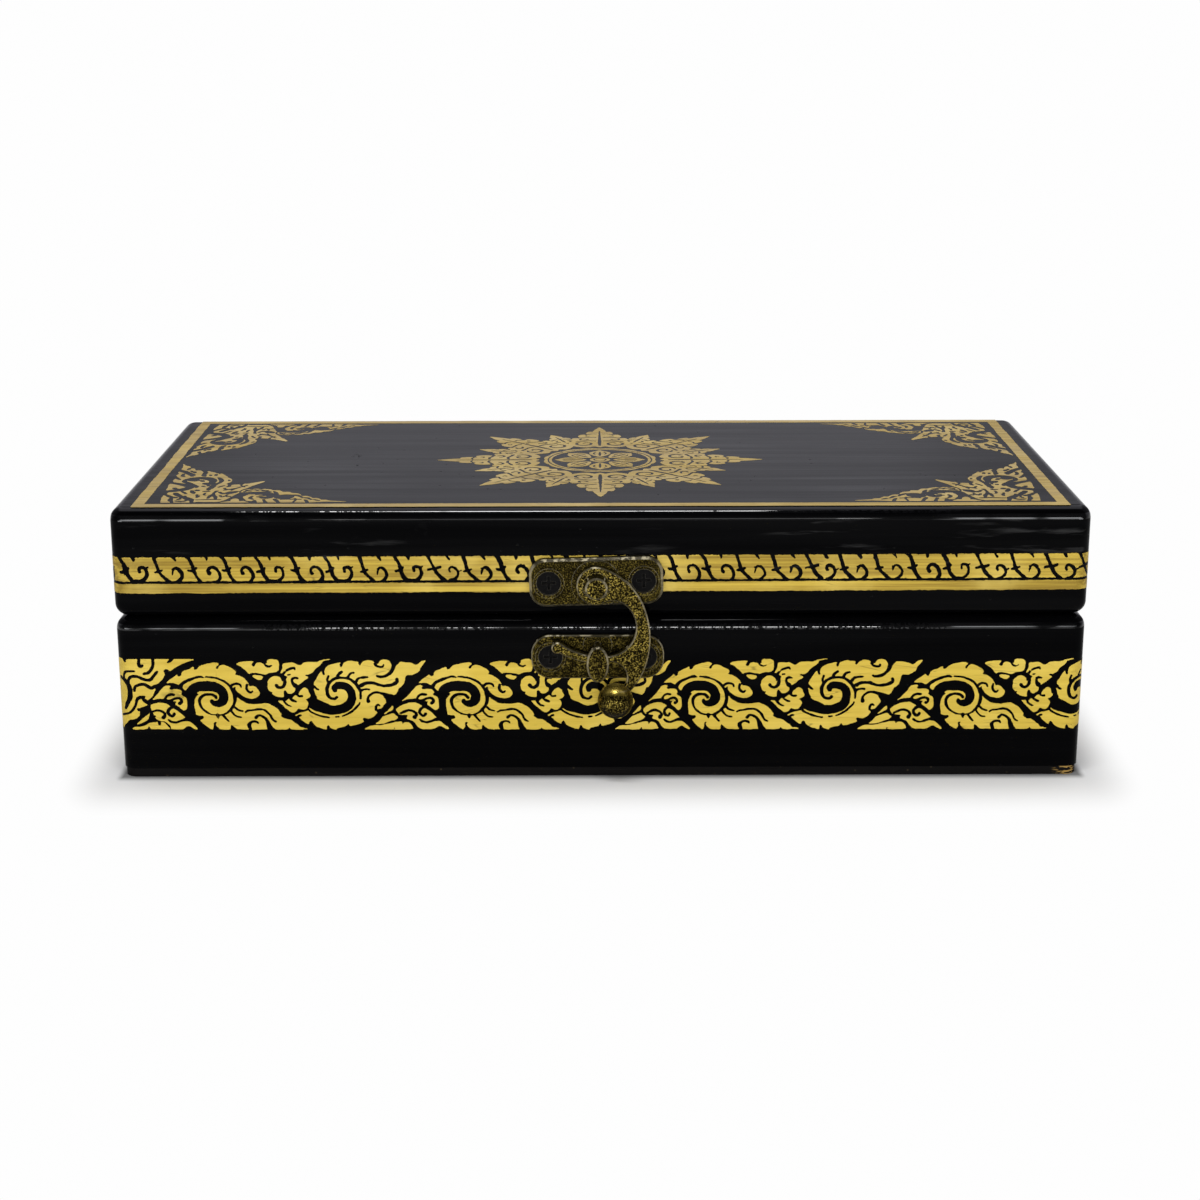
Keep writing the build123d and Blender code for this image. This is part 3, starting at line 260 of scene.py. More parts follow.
# corner ornament of the lid, across and up from the inner corner of the gold border, drawn as the scrolls are
corner_pattern = [
    (
        [
            # fan in the corner, spire on the left and leaf on the diagonal
            [(2.9, 0.8), (5.2, 0.8), (7.6, 0.9), (9.6, 0.8), (10.4, 0.9), (11.4, 1.6), (12.8, 1.4), (14.4, 1.4),
             (15.6, 1.3), (16.6, 1.9), (17.1, 2.6), (17.6, 3.4), (17.9, 4.4), (18.3, 5.6), (18.5, 6.6),
             (18.9, 7.6), (19.2, 8.8), (19.5, 10), (19.9, 11.0), (19.5, 11.9), (19.6, 12.6), (19.9, 13.8),
             (20.3, 14.8), (20.9, 15.8), (21.4, 17), (22.0, 18.4), (22.7, 19.8), (23.4, 21), (24, 22.2),
             (24.3, 23.2), (23.9, 23.6), (23.2, 23), (22.2, 22.2), (21.2, 21.4), (20.4, 20.8), (19.5, 20.7),
             (19.1, 20.3), (18.6, 20), (17.8, 19.8), (17, 19.6), (16.5, 19), (16.1, 18.6), (15.8, 19.6),
             (15.3, 20.6), (15.6, 21.6), (16, 22.4), (16.1, 23.4), (16, 24.8), (15.6, 26.2), (15, 27.2),
             (14.5, 27.8), (14.2, 29), (13.5, 30), (13, 31.2), (12.2, 32.2), (11.9, 31.6), (11.5, 32.2),
             (10.9, 32.6), (10.3, 33.6), (9.4, 34.2), (8.6, 34.9), (8.3, 33.6), (8.0, 32.0), (7.7, 31.5),
             (7.4, 32.6), (7.5, 33.6), (7, 34.9), (6.3, 36), (5.6, 36.1), (5.3, 35.7), (5, 36.8), (4.5, 37.9),
             (3.9, 38.2), (3.5, 37.4), (3.3, 38.8), (3.3, 39.8), (2.7, 40.9), (2.1, 41.2), (1.5, 42),
             (1, 43.4), (0.8, 43.2), (1, 41.8), (1.2, 40.6), (1.4, 39.4), (1.3, 38), (1.5, 36.8), (1.9, 36),
             (1.3, 35.4), (1.15, 34.5), (1.2, 33.2), (1.7, 32), (1.4, 30.9), (1.4, 29.9), (1.9, 28.6),
             (1.8, 27.6), (1.7, 26.2), (1.6, 24.8), (1.8, 23.2), (2.3, 22.1), (1.9, 21.4), (1.4, 20.7),
             (1.4, 19), (1.5, 17.4), (1.7, 16), (1.6, 14.8), (1.8, 13.9), (2.4, 13.2), (3.1, 12.6),
             (2.8, 11.6), (2.6, 10.4), (2.8, 9.6), (2.2, 9.0), (2.1, 7.4), (2.1, 6), (2.3, 4.4), (2.5, 2.6),
             (2.7, 1.6)],
        ],
        [
            [(4.6, 10.6, 0.7), (5.0, 9.6, 0.8), (5.7, 8.3, 0.8), (6.4, 7.2, 0.7), (7.0, 6.2, 0.6),
             (7.8, 5.6, 0.7), (8.6, 4.6, 0.9), (9.2, 3.9, 0.9), (9.7, 3.0, 0.7), (9.9, 2.0, 0.6),
             (10.2, 0.6, 0.6)],
            [(2.2, 9.2, 0.5), (3.0, 8.3, 0.5), (3.7, 7.3, 0.6), (4.4, 6.5, 0.6), (5.3, 6.1, 0.6)],
            [(10.8, 3.5, 0.3), (12.5, 3.7, 0.35), (14.5, 3.9, 0.35), (16.4, 3.6, 0.3)],
            [(7.4, 7.6, 0.4), (7.9, 6.2, 0.45), (8.7, 5.3, 0.4)],
            [(10.0, 9.0, 0.4), (10.2, 7.8, 0.45)],
            [(15.0, 11.6, 0.5), (15.3, 11.0, 0.5)],
            [(17.6, 11.9, 0.45), (18.4, 12.0, 0.5), (19.0, 12.4, 0.4)],
            [(15.5, 15.9, 0.4), (15.8, 15.2, 0.4)],
            [(19.1, 18.8, 0.3), (19.7, 17.9, 0.35), (20.2, 17.0, 0.3)],
            [(17.3, 8.6, 0.4), (17.0, 7.4, 0.45), (16.4, 6.6, 0.4)],
            [(11.8, 10.9, 0.35), (11.6, 9.6, 0.4), (12.0, 8.4, 0.35)],
            [(5.8, 12.4, 0.35), (6.6, 11.2, 0.4), (7.2, 10.0, 0.4)],
            [(15.9, 13.9, 0.4), (17.0, 14.6, 0.45), (18.1, 15.6, 0.4)],
            [(4.5, 5.4, 0.6), (4.6, 4.0, 0.8), (4.8, 2.8, 0.7), (5.2, 1.8, 0.5), (5.5, 0.6, 0.5)],
            [(6.3, 6.9, 0.4), (6.6, 6.2, 0.4), (6.6, 5.2, 0.4)],
            [(6.7, 4.5, 0.5), (6.4, 4.0, 0.5)],
            [(6.0, 2.6, 0.3), (6.6, 2.3, 0.5), (7.4, 2.1, 0.5), (8.1, 2.4, 0.5), (8.5, 3.0, 0.5)],
            [(10.5, 6.0, 0.5), (10.5, 6.9, 0.6), (10.6, 7.8, 0.5)],
            [(8.1, 13.3, 0.5), (8.3, 12.3, 0.6), (8.7, 11.4, 0.7), (9.0, 10.4, 0.5)],
            [(9.2, 13.8, 0.7), (9.4, 13.3, 0.7)],
            [(12.4, 20.2, 0.9), (12.4, 18.4, 0.9), (12.2, 16.6, 0.9), (11.9, 15.0, 0.8), (12.0, 13.8, 0.5)],
            [(14.2, 12.9, 0.6), (13.9, 11.5, 0.5), (13.8, 10, 0.5), (13.9, 8.8, 0.6), (13.5, 7.8, 0.7),
             (13.3, 6.5, 0.6), (13.2, 5, 0.4)],
            [(13.8, 9, 0.6), (14.2, 7.8, 0.6), (14.8, 6.6, 0.6), (15, 5.5, 0.6), (15.2, 4.4, 0.4)],
            [(3.3, 16.2, 0.5), (3.7, 15.5, 0.6), (4.0, 15.2, 0.4)],
            [(2.6, 12.6, 0.9), (3.9, 13.3, 1.1), (5.1, 14.0, 1.2), (6.2, 15.0, 1.2), (6.9, 16.4, 1.3),
             (7.0, 17.9, 1.5), (6.2, 19.1, 1.3), (5.0, 19.8, 1.0), (3.8, 20.5, 0.8), (2.6, 21.3, 0.7),
             (1.0, 22.0, 0.7)],
            [(8.6, 16.6, 0.5), (8.5, 17.4, 0.7), (8.0, 18.4, 0.7), (7.4, 19.5, 0.6), (6.8, 20.5, 0.5),
             (6.2, 21.3, 0.6), (5.4, 22.0, 0.7), (4.7, 22.9, 0.7), (4.5, 24.1, 0.8), (4.9, 25.3, 0.8),
             (5.8, 26.4, 0.8), (7.2, 27.0, 0.9), (8.6, 26.9, 1.1), (10.0, 26.3, 1.2), (11.0, 25.1, 1.2),
             (11.5, 23.6, 1.2), (11.6, 22.1, 1.1), (11.2, 20.8, 1.1), (10.3, 20.9, 0.9), (9.8, 21.4, 0.5)],
            [(6.3, 24.9, 1.1), (6.8, 24.7, 1.1)],
            [(8.5, 24.4, 0.5), (8.8, 23.9, 0.6), (9.1, 23.3, 0.5)],
            [(10.0, 18.2, 0.6), (10.1, 17.8, 0.6)],
            [(11.0, 19.3, 0.4), (11.3, 18.4, 0.5)],
            [(12.3, 27.4, 0.4), (12.9, 26.2, 0.6), (13.4, 24.8, 0.7), (13.6, 23.4, 0.7), (13.4, 22, 0.6),
             (13, 20.8, 0.6), (12.6, 19.6, 0.7)],
            [(8.2, 33.4, 0.8), (8.1, 31.6, 0.8), (8.2, 30, 0.8), (8.6, 28.9, 0.4)],
            [(1.4, 35.6, 0.8), (2.8, 34.2, 0.8), (3.7, 33, 0.8), (4.6, 31.6, 0.9), (5.3, 30.4, 0.9),
             (5.4, 29.2, 0.5)],
            [(1.6, 27.9, 0.6), (2.3, 26.6, 0.5), (3, 25.5, 0.4)],
            [(3.3, 38.3, 0.5), (3.2, 37.3, 0.6), (3.2, 36.6, 0.4)],
            [(4.2, 35.3, 0.4), (4.5, 34.5, 0.4), (5.2, 33.9, 0.6), (5.4, 33.1, 0.5)],
            [(2.9, 31.9, 0.5), (2.9, 30.6, 0.6), (3, 29.6, 0.6), (3.4, 28.8, 0.4)],
            [(9.8, 30.7, 0.5), (9.9, 29.8, 0.5)],
            [(11.1, 31.2, 0.5), (11.2, 30, 0.6)],
            [(15.2, 24.9, 0.35), (15.5, 24, 0.4)],
            [(16.3, 18.8, 0.6), (16.3, 17.8, 0.6), (16.1, 17.2, 0.4)],
            [(16.1, 14.9, 0.5), (16.1, 14.3, 0.6)],
            [(19.0, 19.4, 0.4), (19.1, 20.6, 0.6)],
            [(18.8, 11.6, 0.5), (18.0, 11.3, 1.0), (17.4, 10.6, 1.0), (17.2, 9.6, 0.5)],
            [(15.6, 10.6, 0.5), (16.2, 10.1, 0.6)],
            [(15.7, 8.1, 0.4), (15.9, 7.3, 0.5)],
            [(17.4, 7.2, 0.3), (18.0, 6.8, 0.5)],
            [(11.2, 12.4, 0.4), (12.0, 12.5, 0.5)],
            [(13.9, 16.6, 0.3), (14.4, 17.8, 0.4), (15.0, 18.8, 0.3)],
            [(17.6, 13.4, 0.3), (18.0, 14.8, 0.4), (18.7, 16.2, 0.4), (19.6, 17.6, 0.35), (20.6, 19.0, 0.3)],
        ],
    ),
    (
        # small leaf on the border beside the fan
        [[(17, 0.8), (17.6, 1.6), (18.6, 2.2), (19.1, 2.3), (18.9, 3.4), (19.2, 4.5), (19.8, 4.9),
          (20.5, 4.5), (20.9, 3.4), (21.2, 2.2), (22, 2.4), (22.6, 1.9), (23.2, 0.8)]],
        [],
    ),
    (
        # the long lobe on the right
        [[(20.2, 12.2), (20.3, 13.4), (20.8, 14.3), (21.5, 14.8), (22.2, 14.5), (22.8, 15.1), (23.6, 15.2),
          (24.2, 14.8), (24.7, 14.4), (25.2, 15), (26.2, 14.8), (27, 14.4), (27.7, 13.6), (28.4, 13.7),
          (29.3, 13.4), (29.8, 12.4), (30.3, 11.8), (31.2, 11.9), (32, 11.6), (32.4, 10.7), (33, 10.5),
          (33.8, 10.3), (34.6, 9.4), (35, 8.5), (35.1, 7.4), (35.6, 7.4), (36.4, 7.5), (37.1, 6.8),
          (37.7, 5.9), (38.2, 5.2), (38.9, 5.3), (39.6, 4.9), (40.1, 4), (40.6, 3.5), (41.5, 3.5),
          (42.2, 2.8), (42.9, 2.4), (44.5, 2.1), (46.4, 1.6), (46.2, 1.3), (43.5, 1.3), (42.3, 1.4),
          (41.2, 1.3), (40.3, 1.1), (39.4, 1.0), (37.8, 0.7), (34, 0.7), (30.8, 0.7), (27.8, 0.8),
          (25.1, 0.8), (24.8, 1.9), (24, 2.3), (23.2, 2.4), (22.6, 3), (22.1, 4.2), (21.6, 5.4), (21.4, 6.6),
          (21.8, 7.8), (22.2, 9), (21.6, 10), (20.8, 11), (20.1, 11.5)]],
        [
            [(19.8, 10.4, 0.9), (21.3, 10.3, 1.0), (22.6, 10.6, 1.0), (24, 10.7, 1.1), (25.5, 10.4, 1.2),
             (26.8, 9.6, 1.3), (27.7, 8.3, 1.3), (27.9, 6.9, 1.2), (27.4, 5.9, 1.0), (26.5, 5.7, 0.8),
             (25.8, 6, 0.5)],
            [(28.0, 12.2, 0.3), (28.5, 11.3, 0.5), (28.8, 10.4, 0.6), (29, 9.3, 0.6), (29.4, 8.2, 0.6),
             (29.9, 7.2, 0.8), (30.6, 6.4, 1.4), (31.4, 6.6, 2.0), (31.7, 7.2, 1.6), (32.2, 5.6, 0.9),
             (32.3, 4.6, 0.5)],
            [(29.2, 4.2, 0.5), (29.6, 3.2, 0.6), (30, 2.2, 0.5), (30.6, 0.6, 0.5)],
            [(26.7, 3.8, 0.5), (27, 2.6, 0.5), (27.6, 0.6, 0.5)],
            [(24.6, 2.9, 0.5), (24.7, 2.0, 0.7), (24.8, 0.6, 0.9)],
            [(23.5, 7.2, 0.4), (23.2, 5.8, 0.6), (23.5, 4.8, 0.5), (24.1, 3.9, 0.3)],
            [(24.3, 9.0, 0.35), (25.0, 9.3, 0.4), (25.9, 9.1, 0.45), (26.4, 8.4, 0.45), (26.0, 7.7, 0.4),
             (25.3, 7.7, 0.35)],
            [(27.2, 6.0, 0.5), (26.0, 6.3, 0.5), (24.9, 6.6, 0.4)],
            [(30.8, 3.9, 0.3), (32.6, 4.1, 0.3), (35.4, 3.7, 0.3)],
            [(21.2, 13.7, 0.3), (23.0, 14.0, 0.3), (25.0, 13.7, 0.3), (26.4, 13.4, 0.25)],
            [(25.2, 12.9, 0.3), (26.6, 12.2, 0.4), (27.4, 11.6, 0.3)],
            [(23.2, 14.3, 0.3), (23.9, 13.2, 0.3)],
            [(20.9, 12.2, 0.4), (21.4, 12.8, 0.4), (22.3, 12.6, 0.3)],
            [(32.5, 8.0, 0.4), (33.4, 8.2, 0.5), (34.3, 7.7, 0.5), (35.2, 6.5, 0.45), (35.6, 5.6, 0.3)],
            [(33.9, 4.8, 0.35), (34.3, 3.4, 0.4), (34.1, 2, 0.4), (34, 0.6, 0.35)],
            [(36.2, 5.7, 0.3), (37, 5.2, 0.5), (37.4, 4.4, 0.4), (38.0, 3.6, 0.3)],
            [(36.5, 3.4, 0.35), (36.9, 2.5, 0.5), (37.4, 0.6, 0.5)],
            [(38.7, 3.5, 0.3), (39.3, 3.0, 0.4), (39.9, 2.6, 0.3)],
        ],
    ),
]


def soft_bends(points, closed, steps=4):
    """More points on a smooth curve through the given ones; a third number is the stroke's width."""
    p = np.array(points, float)
    if closed:
        before, after, beyond = np.roll(p, 1, 0), np.roll(p, -1, 0), np.roll(p, -2, 0)
    else:
        before = np.vstack([p[:1], p[:-1]])[:-1]
        after, beyond = p[1:], np.vstack([p[2:], p[-1:]])
        p, end = p[:-1], p[-1:]
    rows = []
    for t in np.arange(steps) / steps:
        rows.append(
            0.5 * (2 * p + (after - before) * t + (2 * before - 5 * p + 4 * after - beyond) * t**2
                   + (3 * p - before - 3 * after + beyond) * t**3)
        )
    out = np.stack(rows, 1).reshape(-1, p.shape[1])
    return out if closed else np.vstack([out, end])


def nearest_on(x, y, a, b):
    """The share of the way from a to b nearest to each place, and the distance to it."""
    run = b[:2] - a[:2]
    t = np.clip(((x - a[0]) * run[0] + (y - a[1]) * run[1]) / max(run @ run, 1e-9), 0, 1)
    return t, np.hypot(x - a[0] - t * run[0], y - a[1] - t * run[1])


def outline_depth(x, y, loop):
    """How deep each place lies inside an outline: above nought inside, below nought outside."""
    away = np.full(x.shape, 1e9)
    inside = np.zeros(x.shape, bool)
    for a, b in zip(loop, np.roll(loop, -1, 0)):
        away = np.minimum(away, nearest_on(x, y, a, b)[1])
        rise = b[1] - a[1]
        if rise:
            inside ^= ((a[1] > y) != (b[1] > y)) & (x < (b[0] - a[0]) * (y - a[1]) / rise + a[0])
    return np.where(inside, away, -away)


def stroke_depth(x, y, stroke):
    """The same for a brush stroke that changes in width."""
    depth = np.full(x.shape, -1e9)
    for a, b in zip(stroke[:-1], stroke[1:]):
        t, away = nearest_on(x, y, a, b)
        depth = np.maximum(depth, (a[2] + (b[2] - a[2]) * t) / 2 - away)
    return depth


class Stencil:
    """A flat field on a fine grid, above nought where gold is laid."""

    # the field outside its grid, and how far an outline and a stroke reach into their surroundings
    BARE = -0.02
    ROOM_ROUND_OUTLINE, ROOM_ROUND_STROKE = 0.6, 1.6

    def __init__(self, low, high, pitch):
        self.low, self.pitch = np.array(low, float), pitch
        count = np.ceil((np.array(high, float) - self.low) / pitch).astype(int) + 1
        self.x = self.low[0] + pitch * np.arange(count[0])
        self.y = self.low[1] + pitch * np.arange(count[1])
        self.gold = np.full((count[1], count[0]), -1.0)

    def window(self, points, margin):
        """The stretch of the grid round some points, with its places; None where it lies outside."""
        spread = np.array(points)[:, :2]
        lo = np.floor((spread.min(0) - margin - self.low) / self.pitch).astype(int)
        hi = np.ceil((spread.max(0) + margin - self.low) / self.pitch).astype(int) + 1
        lo, hi = np.maximum(lo, 0), np.minimum(hi, (len(self.x), len(self.y)))
        if (hi <= lo).any():
            return None, None, None
        part = (slice(lo[1], hi[1]), slice(lo[0], hi[0]))
        x, y = np.meshgrid(self.x[part[1]], self.y[part[0]])
        return part, x, y

    def lay(self, outline):
        """Lays gold inside an outline."""
        part, x, y = self.window(outline, self.ROOM_ROUND_OUTLINE)
        if part is not None:
            self.gold[part] = np.maximum(self.gold[part], outline_depth(x, y, outline))

    def scrape(self, stroke, weight=1.0, flat=0.0):
        """Takes gold away along a stroke; flat broadens the stretches that run across."""
        part, x, y = self.window(stroke, self.ROOM_ROUND_STROKE)
        if part is not None:
            run = np.gradient(stroke[:, :2], axis=0)
            along = np.abs(run[:, 0]) / (np.hypot(run[:, 0], run[:, 1]) + 1e-9)
            broad = stroke.copy()
            broad[:, 2] *= weight * (1 + flat * along)
            self.gold[part] = np.minimum(self.gold[part], -stroke_depth(x, y, broad))

    def add(self, pattern, across=0.0, turn=None, weight=1.3, flat=0.0):
        """Lays groups of outlines, each scraped by its own strokes only."""
        move = (lambda p: p + np.array([across, 0, 0])[: p.shape[1]]) if turn is None else turn
        for outlines, strokes in pattern:
            own = Stencil(self.low, (self.x[-1], self.y[-1]), self.pitch)
            for points in outlines:
                own.lay(move(soft_bends(points, True)))
            for points in strokes:
                own.scrape(move(soft_bends(points, False)), weight, flat)
            self.gold = np.maximum(self.gold, own.gold)

    def roughen(self, size, depth, seed):
        """Uneven edges, as where the gold has crept or flaked."""
        wave = np.random.default_rng(seed)
        gx, gy = (int(n * self.pitch / size) + 3 for n in (len(self.x), len(self.y)))
        coarse = wave.normal(size=(gy, gx))
        fx, fy = np.arange(len(self.x)) * self.pitch / size, np.arange(len(self.y)) * self.pitch / size
        ix, iy = fx.astype(int), fy.astype(int)
        tx, ty = (fx - ix)[None, :], (fy - iy)[:, None]
        tx, ty = tx * tx * (3 - 2 * tx), ty * ty * (3 - 2 * ty)
        near, far = coarse[iy], coarse[iy + 1]
        blend = (near[:, ix] * (1 - tx) + near[:, ix + 1] * tx) * (1 - ty)
        blend = blend + (far[:, ix] * (1 - tx) + far[:, ix + 1] * tx) * ty
        self.gold = self.gold + depth * blend

    def edges(self):
        """Closed outlines of the gold, found cell by cell."""
        g = np.pad(self.gold, 1, constant_values=self.BARE)
        g[g == 0] = 1e-6
        up = g > 0
        code = up[:-1, :-1] * 1 + up[:-1, 1:] * 2 + up[1:, 1:] * 4 + up[1:, :-1] * 8
        # by which of a cell's corners are gold, the sides through which the edge enters and leaves it
        steps = {1: [(3, 0)], 2: [(0, 1)], 3: [(3, 1)], 4: [(1, 2)], 6: [(0, 2)], 7: [(3, 2)], 8: [(2, 3)],
                 9: [(2, 0)], 11: [(2, 1)], 12: [(1, 3)], 13: [(1, 0)], 14: [(0, 3)]}
        follow = {}

        def side(i, j, k):
            return ((i, j, 0), (i, j + 1, 1), (i + 1, j, 0), (i, j, 1))[k]

        for i, j in zip(*np.nonzero((code > 0) & (code < 15))):
            i, j, c = int(i), int(j), int(code[i, j])
            if c in (5, 10):
                full = g[i : i + 2, j : j + 2].sum() > 0
                pairs = ([(3, 2), (1, 0)] if full else [(3, 0), (1, 2)]) if c == 5 else (
                    [(0, 3), (2, 1)] if full else [(0, 1), (2, 3)])
            else:
                pairs = steps[c]
            for a, b in pairs:
                follow[side(i, j, a)] = side(i, j, b)
        loops = []
        while follow:
            start, at = follow.popitem()
            loop = [start]
            while at != start and at in follow:
                loop.append(at)
                at = follow.pop(at)
            i, j, way = np.array(loop).T
            a = g[i, j]
            b = np.where(way == 0, g[i, np.minimum(j + 1, g.shape[1] - 1)], g[np.minimum(i + 1, g.shape[0] - 1), j])
            t = a / (a - b)
            x = self.low[0] + (j - 1 + np.where(way == 0, t, 0)) * self.pitch
            y = self.low[1] + (i - 1 + np.where(way == 1, t, 0)) * self.pitch
            loops.append(np.stack([x, y], 1))
        return loops

    def depth_at(self, points):
        """The field at any places, bare outside the grid."""
        g = np.pad(self.gold, 1, constant_values=self.BARE)
        u = np.clip((points[:, 0] - self.low[0]) / self.pitch + 1, 0, g.shape[1] - 1.001)
        v = np.clip((points[:, 1] - self.low[1]) / self.pitch + 1, 0, g.shape[0] - 1.001)
        i, j = v.astype(int), u.astype(int)
        s, t = u - j, v - i
        return ((g[i, j] * (1 - s) + g[i, j + 1] * s) * (1 - t)
                + (g[i + 1, j] * (1 - s) + g[i + 1, j + 1] * s) * t)


def fewer_points(loop, slack=0.03):
    """Drops the points of an outline that lie on a straight run."""
    n = len(loop)
    keep = np.zeros(n + 1, bool)
    keep[[0, n // 2, n]] = True
    line = np.vstack([loop, loop[:1]])
    spans = [(0, n // 2), (n // 2, n)]
    while spans:
        a, b = spans.pop()
        if b - a < 2:
            continue
        chord = line[b] - line[a]
        length = max(np.hypot(*chord), 1e-9)
        off = np.abs(chord[0] * (line[a + 1 : b, 1] - line[a, 1]) - chord[1] * (line[a + 1 : b, 0] - line[a, 0]))
        if np.hypot(*chord) < 1e-6:
            off = np.hypot(*(line[a + 1 : b] - line[a]).T) * length
        k = int(off.argmax())
        if off[k] / length > slack:
            m = a + 1 + k
            keep[m] = True
            spans += [(a, m), (m, b)]
    return line[:-1][keep[:-1]]


def gold_leaf(name, stencil, place, body, material, creases=(), slack=0.03, mirrored=False):
    """Turns a stencil into one thin leaf of gold, put where place() says."""
    shortest_loop, crease_overrun = 8, 0.5
    points, edges = [], []
    for loop in stencil.edges():
        if len(loop) < shortest_loop:
            continue
        loop = fewer_points(loop, slack)
        if len(loop) < 3:
            continue
        first = len(points)
        points += loop.tolist()
        edges += [(first + k, first + (k + 1) % len(loop)) for k in range(len(loop))]
    low, high = stencil.y[0] - crease_overrun, stencil.y[-1] + crease_overrun
    for x in creases:
        points += [[x, low], [x, high]]
        edges.append((len(points) - 2, len(points) - 1))
    flat, _, faces, _, _, _ = delaunay_2d_cdt([Vector(p) for p in points], edges, [], 0, 1e-6)
    flat = np.array([tuple(v) for v in flat])
    faces = np.array([f for f in faces if len(f) == 3])
    faces = faces[stencil.depth_at(flat[faces].mean(1)) > 0]
    used, renamed = np.unique(faces, return_inverse=True)
    faces = renamed.reshape(-1, 3)
    if mirrored:
        faces = faces[:, ::-1]
    mesh = bpy.data.meshes.new(name)
    mesh.from_pydata((place(flat[used]) * MM).tolist(), [], faces.tolist())
    mesh.polygons.foreach_set("use_smooth", np.ones(len(mesh.polygons), bool))
    mesh.materials.append(material)
    leaf = bpy.data.objects.new(name, mesh)
    bpy.context.collection.objects.link(leaf)
    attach(leaf, body)


def round_the_case(s, proud):
    """A place on the case's upright faces, s millimetres round from the left end of the front's flat."""
    s = np.mod(s, case_round)
    x, y = np.zeros_like(s), np.zeros_like(s)
    ways = np.array([(1, 0), (0, 1), (-1, 0), (0, -1)], float)
    start = 0.0
    r = corner_radius + proud
    for k, (sx, sy) in enumerate(((-1, -1), (1, -1), (1, 1), (-1, 1))):
        run = straight_front if k % 2 == 0 else straight_side
        along, out = ways[k], ways[k - 1]
        corner = np.array([sx * (half_length - corner_radius), sy * (half_depth - corner_radius)])
        on = (s >= start) & (s <= start + run)
        d = (s - start)[on][:, None]
        p = corner + along * d + out * r
        x[on], y[on] = p[:, 0], p[:, 1]
        start += run
        on = (s > start) & (s < start + corner_arc)
        a = ((s - start)[on] / corner_radius)[:, None]
        p = corner + along * run + r * (out * np.cos(a) + along * np.sin(a))
        x[on], y[on] = p[:, 0], p[:, 1]
        start += corner_arc
    return x, y


def corner_creases(step=0.6):
    """Where a leaf has to bend, in millimetres round the case."""
    out, start = [], 0.0
    for k in range(4):
        start += straight_front if k % 2 == 0 else straight_side
        out += list(start + np.linspace(0, corner_arc, round(corner_arc / step) + 1))
        start += corner_arc
    return np.array(out)


# scroll centres as printed on the front: great scrolls at every whole unit, rounded ones between
scroll_places = np.array([20.1, 49.4, 80.1, 109.9, 137.2, 167.3, 198.1, 226.0, 20.1 + case_round])
scroll_marks = np.array([0, 0.5, 1, 1.5, 2, 2.5, 3, 3.5, SCROLLS_ROUND]) * SCROLL_LENGTH

# the piece at the front's left corner is drawn larger, on squared paper: steps across, and steps down from above
CORNER_ACROSS, CORNER_UP = SCROLLS_ROUND * SCROLL_LENGTH - 24.3, 20.03
CORNER_STEP, CORNER_STROKE = (0.01895, -0.02113), 1.6
corner_field = [(60, 60), (1060, 70), (1045, 108), (960, 145), (860, 190), (780, 250), (735, 300), (690, 345),
                (640, 400), (590, 460), (550, 520), (510, 570), (470, 640), (480, 700), (500, 740), (520, 800),
                (560, 835), (640, 840), (700, 890), (715, 960), (60, 960)]
corner_gold = [
    [(60, 90), (150, 90), (165, 120), (195, 140), (215, 120), (240, 92), (600, 92), (1025, 92), (960, 120),
     (880, 150), (800, 190), (760, 222), (725, 232), (700, 212), (665, 215), (655, 240), (668, 275), (652, 312),
     (622, 348), (585, 378), (545, 402), (500, 425), (550, 452), (527, 490), (510, 530), (480, 562), (440, 590),
     (435, 630), (430, 650), (390, 665), (345, 720), (340, 760), (300, 800), (250, 820), (215, 822), (170, 860),
     (140, 885), (60, 885)],
    [(458, 740), (430, 765), (390, 790), (340, 835), (298, 875), (330, 870), (390, 845), (430, 820), (448, 790)],
    [(235, 935), (270, 905), (330, 905), (400, 890), (440, 860), (470, 850), (540, 850), (620, 850), (650, 880),
     (680, 910), (690, 932), (560, 934), (470, 932), (450, 900), (430, 905), (415, 930), (320, 938)],
]
corner_strokes = [
    [(368, 70, 26), (362, 140, 26), (375, 178, 30), (400, 170, 24)],
    [(532, 70, 26), (530, 160, 28), (510, 210, 28), (470, 255, 26), (415, 268, 22)],
    [(765, 85, 26), (740, 115, 26), (712, 130, 18)],
    [(600, 420, 34), (545, 418, 30), (500, 438, 30), (465, 425, 30), (420, 395, 28), (370, 395, 26), (310, 415, 26),
     (295, 445, 26), (290, 470, 24)],
    [(400, 545, 26), (350, 550, 28), (315, 580, 26), (300, 630, 24), (270, 685, 24), (230, 725, 22), (190, 748, 20),
     (100, 775, 18)],
    [(390, 550, 26), (400, 580, 28), (445, 615, 34), (480, 630, 40)],
    [(440, 665, 30), (380, 680, 26), (345, 700, 26), (322, 693, 20)],
    [(110, 320, 28), (150, 335, 30), (185, 355, 36), (215, 390, 38), (232, 430, 40), (238, 490, 42), (232, 550, 42),
     (215, 590, 38), (190, 630, 36), (165, 685, 26)],
    [(165, 320, 18), (170, 275, 22), (195, 245, 22), (240, 237, 20), (300, 237, 18)],
    [(228, 370, 22), (232, 330, 24), (255, 305, 26), (300, 297, 26), (350, 305, 24), (400, 330, 26), (445, 342, 26),
     (490, 338, 28), (520, 310, 26), (545, 280, 24), (575, 245, 22)],
    [(570, 845, 30), (572, 870, 26)],
]


